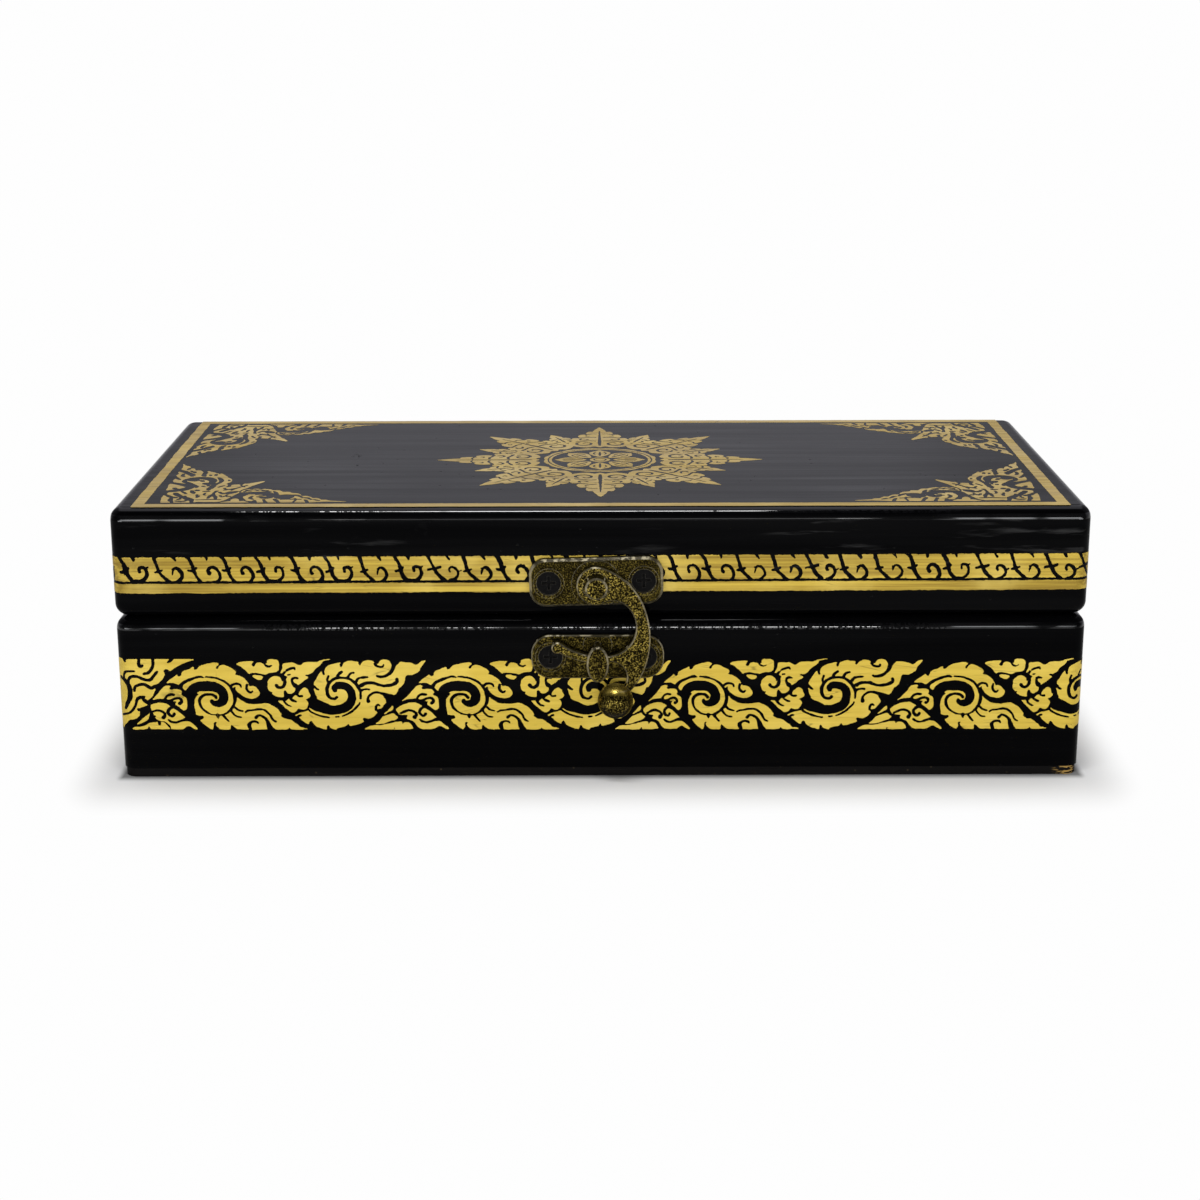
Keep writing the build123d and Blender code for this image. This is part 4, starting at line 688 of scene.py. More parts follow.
def corner_piece(band):
    """Redraws the band's flames beside the front's left corner, where the pattern is stretched."""
    def onto(points):
        p = np.array(points, float)
        p[:, 0] = CORNER_ACROSS + CORNER_STEP[0] * p[:, 0]
        p[:, 1] = CORNER_UP + CORNER_STEP[1] * p[:, 1]
        p[:, 2:] *= CORNER_STROKE * CORNER_STEP[0]
        return p

    own = Stencil(band.low, (band.x[-1], band.y[-1]), band.pitch)
    for points in corner_gold:
        own.lay(soft_bends(onto(points), True, steps=2))
    for points in corner_strokes:
        own.scrape(soft_bends(onto(points), False))
    part, x, y = band.window(onto(corner_field), 0.0)
    field = outline_depth(x, y, onto(corner_field)) > 0
    band.gold[part] = np.where(field, own.gold[part], band.gold[part])


def scroll_band(gold):
    """The gilded scroll band round the base."""
    pitch = 0.125
    unit = Stencil((0, 0), (SCROLL_LENGTH - pitch, SCROLL_HEIGHT), pitch)
    for across in (0, SCROLL_LENGTH):
        unit.add(scroll_pattern, across)
    whole = Stencil((0, 0), (SCROLLS_ROUND * SCROLL_LENGTH - pitch, SCROLL_HEIGHT), pitch)
    whole.gold = np.tile(unit.gold, (1, SCROLLS_ROUND))
    corner_piece(whole)
    whole.roughen(size=0.9, depth=0.035, seed=3)
    whole.roughen(size=0.35, depth=0.03, seed=5)
    bends = corner_creases()
    bends = np.where(bends < scroll_places[0], bends + case_round, bends)

    def place(p):
        x, y = round_the_case(np.interp(p[:, 0], scroll_marks, scroll_places), leaf_lift)
        z = BAND_FOOT + BAND_SLOPE * x + p[:, 1] * (BAND_TOP - BAND_FOOT) / SCROLL_HEIGHT
        return np.stack([x, y, z], 1)

    gold_leaf("base_scroll_band", whole, place, "base", gold, np.interp(bends, scroll_places, scroll_marks))


# millimetres above the table for the foot and top of the hooks and of the line under them; the hooks hang from
# above their band, and their own drawing is HOOK_LENGTH long
HOOK_COUNT = 83
HOOK_FOOT, HOOK_TOP, HOOK_HANG = 49.02, 54.85, 55.0
HOOK_LEAD, HOOK_LENGTH, HOOK_STROKE = 0.16, 8.05, 1.45
STRIP_FOOT, STRIP_TOP = 46.1, 48.4
LID_BAND_SLOPE = 0.002
# each hook differs a little, as on a hand-cut screen: stem, curl, cross tick, notch and dot (across, up, width)
hooks = [
    [
        [(0.0, 0.4, 0.65), (0.3, -0.8, 0.6), (0.7, -2.0, 0.55), (1.0, -3.2, 0.65), (1.5, -4.2, 0.6), (2.3, -5.0, 0.55),
         (3.0, -5.7, 0.65), (3.6, -6.3, 0.7)],
        [(5.5, -6.3, 0.7), (6.1, -5.7, 0.6), (6.6, -5.0, 0.55), (6.6, -4.2, 0.6), (6.1, -3.4, 0.6), (5.6, -2.95, 0.6),
         (5.0, -2.9, 0.5), (4.6, -3.3, 0.45), (4.4, -4.0, 0.35), (4.3, -4.5, 0.2)],
        [(0.3, -3.85, 0.4), (1.0, -3.7, 0.6), (1.5, -3.5, 0.5), (2.0, -3.35, 0.4)],
        [(4.3, 0.3, 0.6), (4.85, -0.4, 0.5), (5.2, -0.95, 0.35)],
        [(4.35, -3.15, 0.35), (4.7, -3.2, 0.3)],
    ],
    [
        [(-0.1, 0.4, 0.7), (0.2, -0.4, 0.6), (0.7, -1.4, 0.5), (1.2, -2.5, 0.5), (1.7, -3.5, 0.6), (2.2, -4.5, 0.6),
         (2.9, -5.3, 0.6), (3.9, -6.2, 0.7)],
        [(5.3, -6.3, 0.7), (6.3, -5.8, 0.55), (7.0, -5.0, 0.5), (7.05, -4.2, 0.55), (6.6, -3.35, 0.55),
         (5.9, -2.95, 0.5), (5.25, -3.0, 0.45), (5.0, -3.6, 0.4), (5.2, -4.05, 0.4)],
        [(0.1, -3.5, 0.4), (0.9, -3.3, 0.4), (1.9, -3.2, 0.5), (2.9, -2.9, 0.5)],
        [(4.3, 0.2, 0.4), (4.8, -0.65, 0.5), (5.1, -1.0, 0.35)],
        [(7.0, -4.1, 0.35), (7.8, -3.75, 0.3)],
    ],
    [
        [(-1.0, 0.3, 0.4), (-0.1, -0.1, 0.6), (0.5, -0.9, 0.6), (1.0, -2.2, 0.6), (1.3, -3.4, 0.75), (1.6, -4.2, 0.6),
         (2.1, -5.2, 0.6), (2.8, -6.2, 0.75)],
        [(6.6, -6.4, 0.6), (7.3, -5.4, 0.55), (7.35, -4.5, 0.55), (7.0, -3.6, 0.55), (6.4, -2.9, 0.55),
         (5.6, -2.6, 0.5), (4.9, -2.9, 0.5), (4.6, -3.5, 0.5), (4.9, -4.15, 0.65)],
        [(0.1, -3.4, 0.4), (1.0, -3.45, 0.55), (1.9, -2.85, 0.45)],
        [(4.2, 0.3, 0.6), (4.4, -0.3, 0.5), (4.45, -0.85, 0.3)],
        [(0.1, -3.4, 0.4), (-0.1, -3.35, 0.3)],
    ],
    [
        [(-0.2, 0.4, 0.6), (0.2, -0.5, 0.55), (0.9, -1.6, 0.55), (1.3, -2.7, 0.65), (1.5, -3.5, 0.75),
         (1.8, -4.6, 0.6), (2.6, -5.7, 0.65), (3.2, -6.2, 0.6)],
        [(3.0, -5.9, 0.5), (4.4, -6.05, 0.55), (5.5, -5.7, 0.6), (6.2, -4.7, 0.55), (6.2, -3.7, 0.5),
         (5.8, -2.9, 0.55), (5.1, -2.65, 0.5), (4.5, -2.9, 0.5), (4.55, -3.7, 0.5)],
        [(0.3, -3.75, 0.45), (1.4, -3.45, 0.6), (2.0, -2.85, 0.4)],
        [(2.9, 0.2, 0.4), (3.2, -0.5, 0.45), (3.3, -0.85, 0.3)],
        [(5.9, -3.0, 0.4), (6.5, -2.6, 0.25)],
    ],
]


def round_the_lid(p):
    """A place on the lid's sides, from millimetres round and up."""
    x, y = round_the_case(p[:, 0], leaf_lift)
    return np.stack([x, y, p[:, 1] + LID_BAND_SLOPE * x], 1)


def hook_band(gold):
    """The band of running hooks round the lid."""
    pitch, spare = 0.12, 0.3
    length = case_round / HOOK_COUNT
    band = Stencil((0, HOOK_FOOT - spare), (case_round - pitch, HOOK_TOP + spare), pitch)
    height = np.minimum(band.y - HOOK_FOOT, HOOK_TOP - band.y)
    band.gold[:] = height[:, None]
    hand = np.random.default_rng(11)
    for k in range(-1, HOOK_COUNT + 1):
        shift = np.array([(k - HOOK_LEAD) * length + hand.normal(0, 0.1), HOOK_HANG + hand.normal(0, 0.04), 0])
        spread = np.array([length / HOOK_LENGTH * hand.normal(1, 0.02), hand.normal(1, 0.015),
                           hand.normal(1.02, 0.06)])
        for stroke in hooks[int(hand.integers(len(hooks)))]:
            band.scrape(soft_bends(stroke, False) * spread + shift, HOOK_STROKE)
    band.roughen(size=2.5, depth=0.06, seed=7)
    band.roughen(size=0.4, depth=0.05, seed=8)
    gold_leaf("lid_hook_band", band, round_the_lid, "lid", gold, corner_creases())


def gold_strip(gold):
    """The narrow line of gold under the hooks."""
    pitch, spare = 0.3, 0.6
    strip = Stencil((0, STRIP_FOOT - spare), (case_round - pitch, STRIP_TOP + spare), pitch)
    strip.gold[:] = np.minimum(strip.y - STRIP_FOOT, STRIP_TOP - strip.y)[:, None]
    strip.roughen(size=6.0, depth=0.05, seed=21)
    strip.roughen(size=0.6, depth=0.04, seed=22)
    gold_leaf("lid_gold_strip", strip, round_the_lid, "lid", gold, corner_creases(), slack=0.02)


# half-widths of the lid's gold frame, and the corner from which its ornaments are drawn, further in at the back
BORDER_OUT_X, BORDER_IN_X = half_length - 5.0, half_length - 7.7
BORDER_OUT_Y, BORDER_IN_Y = half_depth - 2.0, half_depth - 5.2
ORNAMENT_X, ORNAMENT_Y, ORNAMENT_INSET = half_length - 8.5, half_depth - 5.8, 0.4
ORNAMENT_LOW, ORNAMENT_HIGH = (0.2, 0.2), (47.2, 44.2)


def on_the_lid(p):
    """A place on the lid's flat top."""
    return np.stack([p[:, 0], p[:, 1], np.full(len(p), lid_top + leaf_lift)], 1)


def lid_border(gold):
    """The gold frame round the top of the lid."""
    pitch, spare = 0.3, 0.9
    reach = np.array([BORDER_OUT_X + spare, BORDER_OUT_Y + spare])
    border = Stencil(-reach, reach, pitch)
    x, y = np.abs(border.x)[None, :], np.abs(border.y)[:, None]
    outer = np.minimum(BORDER_OUT_X - x, BORDER_OUT_Y - y)
    inner = np.minimum(BORDER_IN_X - x, BORDER_IN_Y - y)
    border.gold = np.minimum(outer, -inner)
    border.roughen(size=5.0, depth=0.06, seed=31)
    border.roughen(size=0.7, depth=0.04, seed=32)
    gold_leaf("lid_border", border, on_the_lid, "lid", gold, slack=0.02)


def corner_ornaments(gold):
    """The same ornament in each corner of the lid, turned over to fit."""
    corners = (("front_left", 1, 1, 41), ("front_right", -1, 1, 42), ("back_left", 1, -1, 43),
               ("back_right", -1, -1, 44))
    for name, sx, sy, seed in corners:
        ornament = Stencil(ORNAMENT_LOW, ORNAMENT_HIGH, 0.14)
        ornament.add(corner_pattern, weight=1.5, flat=0.7)
        ornament.roughen(size=0.9, depth=0.03, seed=seed)
        ornament.roughen(size=0.35, depth=0.025, seed=seed + 10)

        def place(p, sx=sx, sy=sy):
            across = p[:, 0] - ORNAMENT_X - ORNAMENT_INSET * (1 - sy)
            return on_the_lid(np.stack([sx * across, sy * (p[:, 1] - ORNAMENT_Y)], 1))

        gold_leaf("lid_corner_" + name, ornament, place, "lid", gold, mirrored=sx * sy < 0)


def mirrored_outline(half):
    """A leaf drawn once from its root to its tip, and turned over on its midrib."""
    other = [(-x, y) for x, y in reversed(half) if abs(x) > 1e-6]
    return half + other


long_leaf_half = [(0, 15.4), (1.4, 16.4), (3.0, 15.3), (5.2, 15.7), (7.0, 16.9), (8.1, 19.2), (7.9, 21.6),
                  (6.7, 22.6), (7.5, 24.8), (7.0, 27.0), (5.3, 27.4), (5.8, 29.4), (5.0, 31.7), (3.4, 31.9),
                  (3.6, 33.8), (2.9, 35.7), (1.8, 35.8), (1.5, 37.6), (0.7, 40.0), (0, 41.6)]
long_leaf_strokes = [
    [(0, 17.6, 0.5), (0, 21, 0.75), (0, 26, 0.6), (0, 31, 0.45), (0, 36.5, 0.25)],
    [(5.4, 21.2, 0.35), (6.2, 19.9, 0.55), (5.5, 18.4, 0.6), (3.9, 17.9, 0.6), (2.4, 18.9, 0.6),
     (2.3, 20.6, 0.55), (3.5, 21.3, 0.45), (4.3, 20.4, 0.35)],
    [(1.2, 23.4, 0.55), (2.8, 23.6, 0.55), (4.4, 22.9, 0.5), (6.2, 22.3, 0.7)],
    [(4.9, 26.2, 0.35), (5.2, 25.0, 0.5), (4.0, 24.6, 0.5), (3.0, 25.6, 0.4)],
    [(1.1, 28.2, 0.5), (2.4, 28.4, 0.5), (3.7, 27.8, 0.5), (5.4, 27.2, 0.6)],
    [(3.5, 30.6, 0.3), (3.6, 29.8, 0.4), (2.8, 29.9, 0.35)],
    [(0.9, 32.6, 0.4), (2.0, 32.8, 0.4), (3.6, 31.9, 0.5)],
]
short_leaf_half = [(0, 22.4), (1.5, 22.2), (2.9, 23.4), (3.3, 25.2), (2.7, 26.3), (3.0, 27.6), (2.3, 29.2),
                   (1.6, 29.3), (1.7, 30.6), (0.8, 32.4), (0, 34.0)]
short_leaf_strokes = [
    [(0, 23.6, 0.4), (0, 27, 0.5), (0, 30.6, 0.25)],
    [(1.5, 25.6, 0.35), (2.1, 24.8, 0.45), (1.4, 24.0, 0.4)],
    [(1.0, 27.5, 0.4), (2.0, 27.2, 0.4), (2.9, 26.4, 0.4)],
]
petal_half = [(0, 3.4), (1.3, 4.6), (2.5, 6.6), (2.7, 8.4), (1.9, 9.9), (0.9, 10.6), (0, 11.6)]
petal_strokes = [
    [(0, 4.6, 0.35), (0, 7, 0.5), (0, 9.4, 0.3)],
    [(1.3, 6.4, 0.25), (1.6, 8.0, 0.35), (1.0, 9.2, 0.25)],
]
# the rosette's button, and the double ring round its petals
MEDALLION_REACH, LEAVES_ROUND = 42.6, 8
BUTTON_RADIUS, BUTTON_GROOVE = 2.6, (1.5, 0.22)
RING_IN, RING_OUT, RING_SCALLOP, RING_GROOVE = 12.3, 14.0, 0.45, (13.2, 0.2)


def lid_medallion(gold):
    """A plain flame-leaf rosette in the middle of the lid."""
    rosette = Stencil((-MEDALLION_REACH, -MEDALLION_REACH), (MEDALLION_REACH, MEDALLION_REACH), 0.15)
    x, y = np.meshgrid(rosette.x, rosette.y)
    far, angle = np.hypot(x, y), np.arctan2(y, x)
    scallop = RING_SCALLOP * np.abs(np.sin(LEAVES_ROUND * angle))
    rosette.gold = np.maximum(BUTTON_RADIUS - far, np.minimum(far - RING_IN, RING_OUT + scallop - far))
    for radius, half_width in (BUTTON_GROOVE, RING_GROOVE):
        rosette.gold = np.minimum(rosette.gold, np.abs(far - radius) - half_width)

    def ring(half, strokes, turn=0.0):
        mirrored = [[(-a, b, w) for a, b, w in s] for s in strokes if any(a for a, _, _ in s)]
        leaf = [([mirrored_outline(half)], strokes + mirrored)]
        for k in range(LEAVES_ROUND):
            a = turn + k * math.tau / LEAVES_ROUND
            c, s = math.cos(a), math.sin(a)

            def spin(p, c=c, s=s):
                q = p.copy()
                q[:, 0], q[:, 1] = c * p[:, 0] - s * p[:, 1], s * p[:, 0] + c * p[:, 1]
                return q

            rosette.add(leaf, turn=spin)

    ring(petal_half, petal_strokes)
    ring(long_leaf_half, long_leaf_strokes)
    ring(short_leaf_half, short_leaf_strokes, math.pi / LEAVES_ROUND)
    rosette.roughen(size=0.9, depth=0.03, seed=51)
    rosette.roughen(size=0.35, depth=0.025, seed=52)
    gold_leaf("lid_medallion", rosette, on_the_lid, "lid", gold)


# ---------------------------------------------------------------- finishes


class Bench:
    """Puts nodes into a tree and joins them up."""

    def __init__(self, tree):
        self.tree = tree

    def put(self, kind, settings=(), **sockets):
        """Adds one node; its sockets are named, or numbered as i0, i1 and so on."""
        node = self.tree.nodes.new("ShaderNode" + kind)
        for key, value in dict(settings).items():
            setattr(node, key, value)
        for key, value in sockets.items():
            numbered = key[0] == "i" and key[1:].isdigit()
            self.feed(node.inputs[int(key[1:]) if numbered else key.replace("_", " ")], value)
        return node

    def feed(self, socket, value):
        """Gives a socket a link or a plain value."""
        if isinstance(value, bpy.types.NodeSocket):
            self.tree.links.new(value, socket)
        elif isinstance(value, bpy.types.Node):
            self.tree.links.new(value.outputs[0], socket)
        else:
            socket.default_value = value

    def reckon(self, how, *values, clamp=False):
        """One sum of the named kind."""
        node = self.put("Math", {"operation": how, "use_clamp": clamp})
        for socket, value in zip(node.inputs, values):
            self.feed(socket, value)
        return node.outputs[0]

    def chain(self, how, values):
        """Several values taken together two by two, from the left."""
        total = values[0]
        for value in values[1:]:
            total = self.reckon(how, total, value)
        return total

    def times(self, *values):
        return self.chain("MULTIPLY", values)

    def plus(self, *values):
        return self.chain("ADD", values)

    def most(self, *values):
        return self.chain("MAXIMUM", values)

    def minus(self, a, b):
        return self.reckon("SUBTRACT", a, b)

    def either_way(self, value):
        return self.reckon("ABSOLUTE", value)

    def split(self, place):
        return self.put("SeparateXYZ", Vector=place).outputs

    def stretch(self, place, scale):
        return self.put("Mapping", Vector=place, Scale=scale).outputs[0]

    def noise(self, place, scale, detail=3.0, rough=0.5):
        return self.put("TexNoise", Vector=place, Scale=scale, Detail=detail, Roughness=rough).outputs["Fac"]

    def drawn_out(self, place, scales, detail=3.0, rough=0.5):
        """Noise with a scale of its own along each axis."""
        return self.noise(self.stretch(place, scales), 1.0, detail, rough)

    def between(self, value, low, high, to_low=0.0, to_high=1.0):
        """Eases from one level to the other while the value goes from low to high."""
        node = self.put("MapRange", {"interpolation_type": "SMOOTHSTEP"})
        for socket, v in zip(node.inputs[:5], (value, low, high, to_low, to_high)):
            self.feed(socket, v)
        return node.outputs[0]

    def within(self, value, low, low_full, high_full, high):
        """Comes in from low to low_full, and goes out again from high_full to high."""
        return self.times(self.between(value, low, low_full), self.between(value, high, high_full))

    def mix(self, share, a, b):
        node = self.put("Mix", {"data_type": "RGBA"})
        self.feed(node.inputs[0], share)
        self.feed(node.inputs[6], a)
        self.feed(node.inputs[7], b)
        return node.outputs[2]

    def use(self, tree, **sockets):
        """Places a shared effect, with this finish's own values."""
        node = self.tree.nodes.new("ShaderNodeGroup")
        node.node_tree = tree
        for key, value in sockets.items():
            self.feed(node.inputs[key], value)
        return node.outputs


def effect(name, inputs, outputs):
    """An empty effect that several finishes share, with named inputs and outputs."""
    tree = bpy.data.node_groups.new(name, "ShaderNodeTree")
    for label, kind, value in inputs:
        socket = tree.interface.new_socket(label, in_out="INPUT", socket_type=kind)
        socket.default_value = value
    for label in outputs:
        tree.interface.new_socket(label, in_out="OUTPUT", socket_type="NodeSocketFloat")
    return Bench(tree), tree.nodes.new("NodeGroupInput").outputs, tree.nodes.new("NodeGroupOutput").inputs


def finish_bench(name):
    """An empty material, its bench, and the place on the object in metres."""
    material = bpy.data.materials.new(name)
    material.use_nodes = True
    material.node_tree.nodes.clear()
    bench = Bench(material.node_tree)
    return material, bench, bench.put("TexCoord").outputs["Object"]


def varnish(bench, **sockets):
    """The surface shader, with its constants set on its own sockets."""
    shader = bench.put("BsdfPrincipled", **sockets)
    bench.put("OutputMaterial", Surface=shader.outputs[0])


PLACE_SOCKET = ("Place", "NodeSocketVector", (0, 0, 0))


def make_brush_streaks():
    """Long fine streaks that a wide brush leaves along the case."""
    bench, given, out = effect("brush_streaks", [PLACE_SOCKET, ("Fineness", "NodeSocketFloat", 1.0)],
                               ["Streak", "Broad"])
    thin = bench.stretch(given["Place"], (14, 900, 900))
    wide = bench.stretch(given["Place"], (5, 160, 160))
    bench.feed(out["Streak"], bench.noise(thin, given["Fineness"], 4.0, 0.6))
    bench.feed(out["Broad"], bench.noise(wide, given["Fineness"], 2.0))
    return bench.tree


def make_fine_specks():
    """Scattered small dots: dust nibs, dents and pores."""
    bench, given, out = effect("fine_specks", [PLACE_SOCKET, ("Count", "NodeSocketFloat", 300.0),
                                               ("Size", "NodeSocketFloat", 0.12)], ["Speck"])
    cells = bench.put("TexVoronoi", Vector=given["Place"], Scale=given["Count"]).outputs
    pick = bench.put("SeparateColor", Color=cells["Color"]).outputs[0]
    near = bench.between(cells["Distance"], 0.0, given["Size"], 1.0, 0.0)
    bench.feed(out["Speck"], bench.times(near, bench.reckon("GREATER_THAN", pick, 0.55)))
    return bench.tree


def make_rubbed_edge():
    """Finds the edges of a piece, where handling rubs it bright."""
    bench, given, out = effect("rubbed_edge", [PLACE_SOCKET, ("Width", "NodeSocketFloat", 0.0003)], ["Edge"])
    eased = bench.put("Bevel", {"samples": 6}, Radius=given["Width"]).outputs[0]
    true = bench.put("NewGeometry").outputs["Normal"]
    alike = bench.put("VectorMath", {"operation": "DOT_PRODUCT"}, i0=eased, i1=true).outputs["Value"]
    edge = bench.between(alike, 0.985, 0.86)
    broken = bench.between(bench.noise(given["Place"], 900.0), 0.3, 0.6, 0.35, 1.0)
    bench.feed(out["Edge"], bench.reckon("MULTIPLY", edge, broken, clamp=True))
    return bench.tree


brush_streaks, fine_specks, rubbed_edge = make_brush_streaks(), make_fine_specks(), make_rubbed_edge()

# metres from the middle of the case, or above the table, over which an effect comes in or goes out
LID_STARTS = (0.048, 0.052)
DOTS_GO_OUT, MIDDLE_COMES_IN, ENDS_COME_IN = (0.09, 0.08), (0.06, 0.035), (0.076, 0.082)
# how far a rounded edge faces up, where its gloss comes in, is full, and goes out again
WET_EDGE, HIGH_EDGE, LOW_EDGE = (0.74, 0.8, 0.95, 0.995), (0.5, 0.56, 0.72, 0.76), (0.04, 0.09, 0.44, 0.5)


def lacquer_coat(bench, place, upward, sideways, broad, lower_edge):
    """The wet top coat: lines along the rounded edges, brush layers on flat tops and smears on the lid's front."""
    at = bench.split(place)
    outer = bench.either_way(at[0])
    on_lid = bench.between(at[2], *LID_STARTS)
    wet = bench.times(bench.within(upward, *WET_EDGE), bench.between(sideways, 0.1, 0.35, 1.0, 0.1))
    dotted = bench.times(
        bench.between(bench.drawn_out(place, (1900, 1400, 1400), 1.0), 0.46, 0.54),
        bench.between(bench.drawn_out(place, (34, 5, 5)), 0.34, 0.46),
        bench.between(outer, *DOTS_GO_OUT),
    )
    middle = bench.times(bench.between(outer, *MIDDLE_COMES_IN),
                         bench.between(bench.drawn_out(place, (160, 700, 700), 2.0), 0.3, 0.46))
    high = bench.times(bench.within(upward, *HIGH_EDGE), bench.most(dotted, middle), on_lid)
    ends = bench.times(bench.between(bench.drawn_out(place, (90, 300, 300), 2.0), 0.38, 0.52),
                       bench.between(outer, *ENDS_COME_IN))
    low = bench.times(lower_edge, bench.most(ends, bench.times(dotted, bench.minus(1.0, on_lid))))
    brushed = bench.between(broad, 0.38, 0.7, 0.0, 0.06)
    layers = bench.times(
        bench.between(bench.drawn_out(place, (7, 240, 240), 3.0, 0.6), 0.4, 0.62, 0.0, 0.1),
        bench.between(bench.noise(place, 14.0, 2.0), 0.4, 0.62, 0.3, 1.3),
        bench.between(upward, 0.97, 0.99),
    )
    smears = bench.times(
        bench.between(bench.drawn_out(place, (38, 300, 420), 4.0, 0.65), 0.52, 0.72),
        bench.between(bench.noise(place, 16.0, 2.0), 0.48, 0.6, 0.0, 0.9),
        bench.between(sideways, 0.3, 0.6, 1.0, 0.2),
        bench.times(on_lid, bench.between(upward, 0.3, 0.1)),
    )
    return bench.most(wet, high, low, brushed, layers, smears)


def black_lacquer():
    """Deep black gloss lacquer with brush grain, slow waves and dust nibs."""
    material, bench, place = finish_bench("black_lacquer")
    fine, broad = bench.use(brush_streaks, Place=place)
    specks = bench.use(fine_specks, Place=place, Count=260.0, Size=0.12)[0]
    facing = bench.split(bench.put("TexCoord").outputs["Normal"])
    upward, sideways = facing[2], bench.either_way(facing[0])
    lower_edge = bench.within(upward, *LOW_EDGE)
    wave = bench.drawn_out(place, (10, 40, 40), 2.0)
    height = bench.plus(bench.times(wave, 0.8), bench.times(fine, 0.14), bench.times(specks, -0.2))
    bump = bench.put("Bump", Strength=0.5, Distance=0.0007, Height=height)
    rough = bench.plus(
        bench.between(broad, 0.3, 0.75, 0.04, 0.12),
        bench.times(specks, 0.5),
        bench.between(bench.drawn_out(place, (70, 26, 70), 5.0, 0.65), 0.66, 0.72, 0.0, 0.4),
        bench.times(lower_edge, 0.3),
    )
    tone = bench.mix(fine, (0.0004, 0.0004, 0.0005, 1), (0.0014, 0.0014, 0.0017, 1))
    coat = lacquer_coat(bench, place, upward, sideways, broad, lower_edge)
    varnish(bench, Base_Color=tone, Roughness=rough, IOR=1.09, Coat_Weight=coat, Coat_Roughness=0.03, Coat_IOR=1.5,
            Normal=bump)
    return material


def gilding(name, gold, shade, pale, metal, brushed):
    """Printed gold: brushed streaks, hairline cracks and small losses."""
    material, bench, place = finish_bench(name)
    fine, broad = bench.use(brush_streaks, Place=place)
    specks = bench.use(fine_specks, Place=place, Count=900.0, Size=0.16)[0]
    patch = bench.noise(place, 60.0, 4.0)
    colour = bench.mix(bench.between(fine, 0.5 - brushed, 0.5 + brushed), shade, gold)
    colour = bench.mix(bench.between(patch, 0.45, 0.75, 0.0, 0.6), colour, pale)
    crack = bench.put("TexVoronoi", {"feature": "DISTANCE_TO_EDGE"}, Vector=bench.stretch(place, (60, 700, 700)),
                      Scale=1.0).outputs["Distance"]
    hairlines = bench.times(bench.between(crack, 0.0, 0.035, 1.0, 0.0),
                            bench.between(bench.noise(place, 170.0, 2.0), 0.52, 0.66))
    pinholes = bench.times(specks, bench.between(patch, 0.56, 0.7, 0.1, 0.45))
    loss = bench.times(bench.most(hairlines, pinholes), 0.5)
    colour = bench.mix(loss, colour, (0.02, 0.015, 0.006, 1))
    bump = bench.put("Bump", Strength=0.25, Distance=0.0001, Height=bench.minus(fine, loss))
    rough = bench.between(broad, 0.3, 0.7, 0.34, 0.5)
    varnish(bench, Base_Color=colour, Roughness=rough, Metallic=metal, IOR=1.3, Normal=bump)
    return material


# places on the latch in metres: in front of the plates, the arm's ball, and the keeper's head
PLATES_END, BALL_TOP, BALL_BACK = (-0.0559, -0.0572), (0.0252, 0.0246), (-0.0556, -0.0560)
KEEPER_BACK, KEEPER_HEIGHT = (-0.0588, -0.0594), (0.0246, 0.0252, 0.0356, 0.0362)


